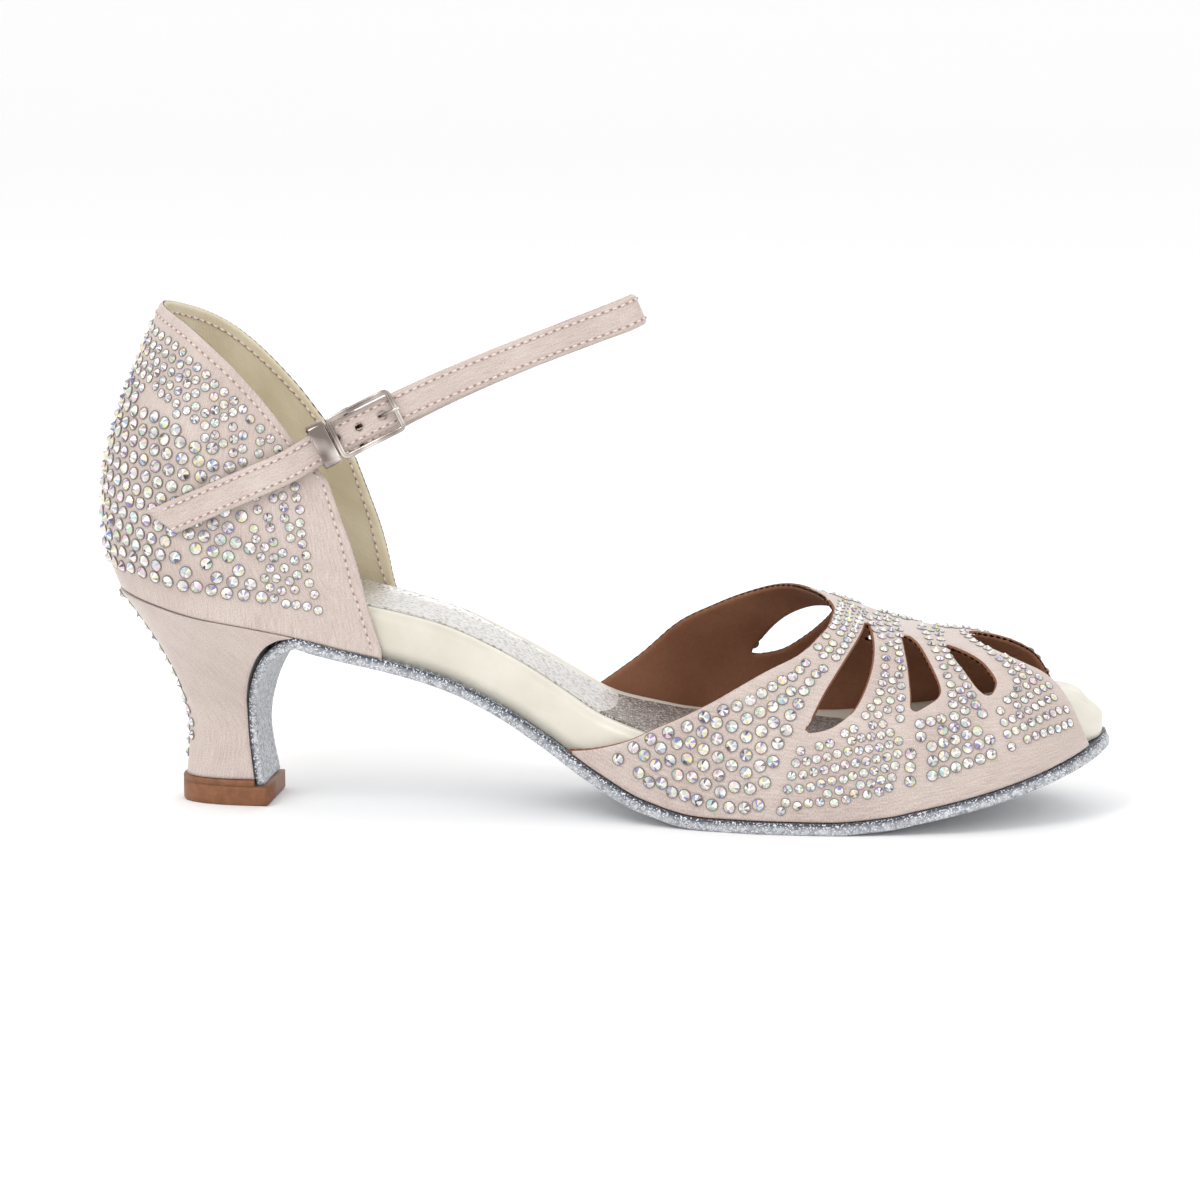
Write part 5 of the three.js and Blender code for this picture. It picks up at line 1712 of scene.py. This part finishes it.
def filled(starts, samples, pitch, count):
    """Starts brought to a count: the most crowded go, or the emptiest places get one."""
    starts = np.array(starts, float)
    apiece = pitch[[int(((samples - spot) ** 2).sum(axis=1).argmin()) for spot in starts]]
    between = np.linalg.norm(starts[:, None] - starts[None, :], axis=2)
    between = between * 2 / (apiece[:, None] + apiece[None, :]) + np.eye(len(starts)) * 99
    left = np.ones(len(starts), bool)
    while left.sum() > count:
        worst = int(np.unravel_index(between.argmin(), between.shape)[0])
        left[worst] = False
        between[worst] = between[:, worst] = 99
    starts = starts[left]
    gap = np.array([np.linalg.norm(samples - spot, axis=1) for spot in starts]).min(axis=0)
    while len(starts) < count:
        spot = samples[(gap / pitch).argmax()]
        starts = np.vstack([starts, spot])
        gap = np.minimum(gap, np.linalg.norm(samples - spot, axis=1))
    return starts


def near_loop(spots, loop, reach):
    """Which spots lie inside a loop or within a reach of it."""
    return inside(spots, loop) | (nearest(spots, resample(loop, 0.3)) < reach)


SAMPLE_STEP = 0.4
BORDER_REACH = 12.0
# The area of one place in the closest packing, over the square of its pitch
CLOSEST = 0.866
# How much of the closest packing the stones take
PACKING = 0.95


def fill_panel(outline, guide, widths, side, borders):
    """Places in a panel, in rows beside its guide and eased apart, and their widths."""
    widths = np.array(widths)

    def pitch_at(spots):
        share = np.abs(spots[:, 1]) / girth_at(spots[:, 0] / LENGTH, side)
        return np.interp(share, widths[:, 0], widths[:, 1]) + 0.5

    outline, guide = true_vamp(outline, side), true_vamp(guide, side)
    low, high = outline.min(axis=0) - 2, outline.max(axis=0) + 2
    lines = [np.arange(a, b, SAMPLE_STEP) for a, b in zip(low, high)]
    samples = np.stack(np.meshgrid(*lines), -1).reshape(-1, 2)
    samples = samples[near_loop(samples, outline, pitch_at(samples) * 0.45)]
    samples = samples[inside(samples, borders[0][0])]
    for border, clear in borders:
        close = border[nearest(border, outline) < BORDER_REACH]
        if len(close):
            samples = samples[nearest(samples, close) > clear]
    pitch = pitch_at(samples)
    guide, _ = catmull(guide, 240)
    way = unit(np.gradient(guide, axis=0))
    across = np.stack([-way[:, 1], way[:, 0]], -1)
    middle = float(np.median(pitch))
    starts = []
    for k in range(-36, 37):
        line = guide + across * (middle * 0.9 * (k + 0.35))
        run = run_of(line)
        at = [middle * (0.3 if k % 2 else 0.8)]
        while at[-1] < run[-1]:
            spot = at_runs(at[-1:], run, line)
            at.append(at[-1] + float(pitch_at(spot)[0]))
        starts.append(at_runs(at, run, line))
    starts = np.vstack(starts)
    starts = starts[nearest(starts, samples) < 0.3]
    starts = starts[apart(starts, pitch_at(starts), -0.3)]
    count = round(PACKING * (SAMPLE_STEP**2 / (CLOSEST * pitch**2)).sum())
    spots = spread(samples, pitch**-4, filled(starts, samples, pitch, count))
    along = spots[:, 0] / LENGTH
    return np.stack([along, spots[:, 1] / girth_at(along, side)], -1), pitch_at(spots) - 0.5


def apart(spots, widths, room):
    """Which spots keep clear of those before them."""
    kept = []
    for i, spot in enumerate(spots):
        if all(
            np.linalg.norm(spot - spots[j]) > (widths[i] + widths[j]) / 2 + room for j in kept
        ):
            kept.append(i)
    return np.array(kept)


# Bare satin beside an edge, and beside the throat on the inner side
EDGE_BARE, THROAT_BARE = 0.35, 5.0


def vamp_crystals():
    loops = [vamp_outline(), *(flat_vamp(spline_loop(loop)) for loop in CUTS.values())]
    shares = [resample(loop, 0.7) / (LENGTH, GIRTH_SPAN) for loop in loops]
    flat, widths = [], []
    for side in (-1, 1):
        borders = [(true_vamp(loop, side), EDGE_BARE) for loop in shares]
        if side > 0:
            borders.append((true_vamp(shares[0][shares[0][:, 0] < 0.74], side), THROAT_BARE))
        for outline, guide, sizes in VAMP_PANELS:
            if side > 0:
                outline, guide = np.array(outline) * (1, -1), np.array(guide) * (1, -1)
                outline[:, 1] = np.maximum(outline[:, 1], 0.05)
                outline[:, 0] = INNER_MATCH["inner"](outline[:, 0])
                guide[:, 0] = INNER_MATCH["inner"](guide[:, 0])
            spots, sizes = fill_panel(outline, guide, sizes, side, borders)
            flat.append(flat_vamp(spots))
            widths.append(sizes)
    flat, widths = np.vstack(flat), np.concatenate(widths)
    spots, normals = vamp_face(flat[:, 0], flat[:, 1])
    kept = apart(spots, widths, -0.05)
    return set_crystals("vamp_crystals", spots[kept], normals[kept], widths[kept])


# Stones on the quarter: small ones under the topline and at the front, large ones behind and below
SMALL, LARGE = 2.3, 3.1
SMALL_PITCH, LARGE_PITCH = SMALL + 0.65, LARGE + 0.8
ROW_SHARE = 0.88
TOP_BARE, FRONT_BARE, FOOT_BARE = 6.2, 14.0, 8.4
SMALL_DEEP, SMALL_WIDE = 13.0, 13.5


def quarter_crystals():
    turns = np.linspace(-0.999, 0.0, 200)
    ups = np.linspace(0, 1, 101)
    grid = quarter_at(turns[None, :] + 0 * ups[:, None], ups[:, None] + 0 * turns[None, :])
    steps = np.linalg.norm(np.diff(grid, axis=1), axis=2)
    front = np.concatenate([np.zeros((101, 1)), np.cumsum(steps, axis=1)], axis=1)
    steps = np.linalg.norm(np.diff(grid, axis=0), axis=2)
    foot = np.concatenate([np.zeros((1, 200)), np.cumsum(steps, axis=0)], axis=0)
    top = foot[-1] - foot
    back = front[:, -1:] - front
    small = (top < TOP_BARE + SMALL_DEEP) | (front < FRONT_BARE + SMALL_WIDE)
    pitch = np.where(small, SMALL_PITCH, LARGE_PITCH)
    area = np.gradient(front, axis=1) * np.gradient(foot, axis=0)
    held = (top > TOP_BARE - pitch / 2) & (front > FRONT_BARE - pitch / 2)
    held &= foot > FOOT_BARE - pitch / 2
    rows, columns = np.nonzero(held)
    samples, weights = grid[held], (area * pitch**-4.0)[held]
    starts = []
    zones = ((SMALL_PITCH, small, top, TOP_BARE), (LARGE_PITCH, ~small, foot, FOOT_BARE))
    for size, zone, rise, bare in zones:
        for k in range(40):
            level = bare + k * size * ROW_SHARE
            for j in range(40):
                reach = size * (j + 0.5 + 0.5 * (k % 2))
                near = np.abs(rise - level) + np.abs(back - reach)
                near[~(held & zone)] = 9
                spot = np.unravel_index(near.argmin(), near.shape)
                if near[spot] < 0.7:
                    starts.append(grid[spot])
    count = round(PACKING * (area / (CLOSEST * pitch**2))[held].sum())
    spots = spread(samples, weights, filled(starts, samples, pitch[held], count))
    places, widths = [], []
    for spot in spots:
        at = int(((samples - spot) ** 2).sum(axis=1).argmin())
        for hand in (-1, 1):
            places.append((-hand * turns[columns[at]], ups[rows[at]]))
            widths.append(SMALL if small[rows[at], columns[at]] else LARGE)
    places, widths = np.array(places), np.array(widths)
    spots = quarter_at(places[:, 0], places[:, 1])
    normals = normal_of(quarter_at, places[:, 0], places[:, 1], -1)
    kept = apart(spots, widths, -0.05)
    return set_crystals("quarter_crystals", spots[kept], normals[kept], widths[kept])


# Between the columns and between the rows of stones on the heel's back
COLUMN_STEP, ROW_STEP = 3.1, 3.2


def heel_crystals():
    """Columns down the middle of the heel's back: four above, two below."""
    ups = np.linspace(0.06, 0.985, 300)
    rings = np.array([heel_ring(up, 241) for up in ups])
    middle = rings[:, 120]
    run = run_of(middle)
    spots, normals, widths = [], [], []
    for column in (-1.5, -0.5, 0.5, 1.5):
        for at in np.arange(0.6 + (ROW_STEP / 2 if abs(column) < 1 else 0), run[-1], ROW_STEP):
            if abs(column) > 1 and at < run[-1] * 0.15:
                continue
            i = int(np.clip(np.searchsorted(run, at), 1, 298))
            aside = np.abs(rings[i, :, 1] - column * COLUMN_STEP)
            aside[:60] = aside[180:] = 99
            j = int(aside.argmin())
            spots.append(rings[i, j])
            across = rings[i, j + 3] - rings[i, j - 3]
            normals.append(np.cross(across, rings[i + 1, j] - rings[i - 1, j]))
            widths.append(lerp(SMALL, 2.9, at / run[-1]))
    spots, normals = np.array(spots), unit(np.array(normals))
    normals *= np.where(normals[:, :1] > 0, -1, 1)
    return set_crystals("heel_crystals", spots, normals, widths)


# How far the strap's two seams lie from its middle, and the quarter's seam from its topline
STRAP_SEAM, TOP_SEAM = 2.5, 2.4


def underside(face, wall):
    """The other side of a wall on a face, with its normals turned."""

    def at(a, b):
        spot, normal = face(a, b)
        return spot - normal * wall, -normal

    return at


def strap_stitches():
    s = np.linspace(1.5, STRAP_LENGTH - 1.5, 400)
    runs, faces = [], []
    for face in (strap_face, underside(strap_face, 0)):
        for hand in (-1, 1):
            runs.append(np.stack([s, np.full_like(s, hand * STRAP_SEAM)], -1))
            faces.append((face, STRAP_THICK / 2 + STITCH_LIFT))
    return sew("strap_stitches", runs, faces)


def quarter_stitches():
    """One row under the topline and down both front edges, through to the lining."""
    turns = np.linspace(-0.975, 0.975, 400)
    foot = quarter_at(turns, 0.0)
    top = quarter_at(turns, 1.0)
    high = np.linalg.norm(top - foot, axis=1)
    line = np.stack([turns * TURN_SPAN, (1 - TOP_SEAM / high) * UP_SPAN], -1)
    ups = np.linspace(0.03, 0.93, 80)
    runs, faces = [], []
    for face in (quarter_face, underside(quarter_face, UPPER_WALL)):
        runs.append(line)
        for hand in (-1, 1):
            runs.append(np.stack([np.full_like(ups, hand * 0.979 * TURN_SPAN), ups * UP_SPAN], -1))
        faces += [(face, STITCH_LIFT)] * 3
    return sew("quarter_stitches", runs, faces)


# The floor in metres: its front, where its curve starts, the curve's radius, its top and half width
FLOOR_FRONT, FLOOR_BACK, FLOOR_CURVE, FLOOR_TOP, FLOOR_HALF = -4.0, 2.5, 1.5, 6.0, 6


def make_floor():
    """A pale floor that curves up into a backdrop."""
    line = [(FLOOR_FRONT, 0.0), (FLOOR_BACK, 0.0)]
    for a in np.linspace(0.1, 1.57, 16):
        ahead, up = FLOOR_CURVE * math.sin(a), FLOOR_CURVE * math.cos(a)
        line.append((FLOOR_BACK + ahead, FLOOR_CURVE - up))
    line.append((FLOOR_BACK + FLOOR_CURVE, FLOOR_TOP))
    verts = [(x, y, z) for y, z in line for x in (-FLOOR_HALF, FLOOR_HALF)]
    faces = [(2 * i, 2 * i + 1, 2 * i + 3, 2 * i + 2) for i in range(len(line) - 1)]
    mesh = bpy.data.meshes.new("floor")
    mesh.from_pydata(verts, [], faces)
    made = bpy.data.objects.new("floor", mesh)
    bpy.context.scene.collection.objects.link(made)
    paint, _, _ = new_material("floor", (0.97, 0.97, 0.97, 1), Roughness=0.9)
    mesh.materials.append(paint)
    mesh.polygons.foreach_set("use_smooth", [True] * len(faces))


make_floor()


LIGHT_AIM = Vector((0, 0, 0.04))


def add_light(name, place, size, power):
    data = bpy.data.lights.new(name, "AREA")
    data.size = size
    data.energy = power
    lamp = bpy.data.objects.new(name, data)
    bpy.context.scene.collection.objects.link(lamp)
    way = (LIGHT_AIM - Vector(place)).to_track_quat("-Z", "Y").to_matrix().to_4x4()
    lamp.matrix_world = Matrix.Translation(place) @ way


world = bpy.data.worlds.new("studio")
bpy.context.scene.world = world
world.use_nodes = True
world.node_tree.nodes["Background"].inputs[0].default_value = (1, 1, 1, 1)
world.node_tree.nodes["Background"].inputs[1].default_value = 1.0
LIGHTS = [
    # name, place and size in metres, power in watts
    ("key", (-0.5, -0.9, 1.1), 0.6, 6),
    ("fill", (0.9, -0.8, 0.7), 0.9, 2),
    ("back", (0.2, 0.9, 0.8), 0.7, 2),
]
for light in LIGHTS:
    add_light(*light)
bpy.context.scene.view_settings.view_transform = "Standard"


def show(made, slot, *nodes):
    """Sets a finished piece on the shoe, in place of its CAD nodes."""
    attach(made, "root")
    if nodes:
        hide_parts(*nodes)
    return made


show(make_vamp(), "satin", "vamp")
show(make_quarter(), "satin", "quarter")
show(make_outsole(), "sole_suede", "outsole")
show(make_footbed(), "footbed_leather", "footbed")
show(make_sock(), "sock_leather", "sock")
show(make_heel(), "satin", "heel")
show(make_top_piece(), "heel_rubber", "top_piece")
show(make_strap(), "satin", "strap")
show(make_buckle_frame(), "nickel", "buckle_frame")
show(make_prong(), "nickel", "buckle_prong")
show(make_keeper(), "nickel", "buckle_keeper")
show(vamp_crystals(), "crystal")
show(quarter_crystals(), "crystal")
show(heel_crystals(), "crystal")
show(strap_stitches(), "thread")
show(quarter_stitches(), "thread")
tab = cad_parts["buckle_tab"]
for held in tab.material_slots:
    held.material = SATIN_PLAIN
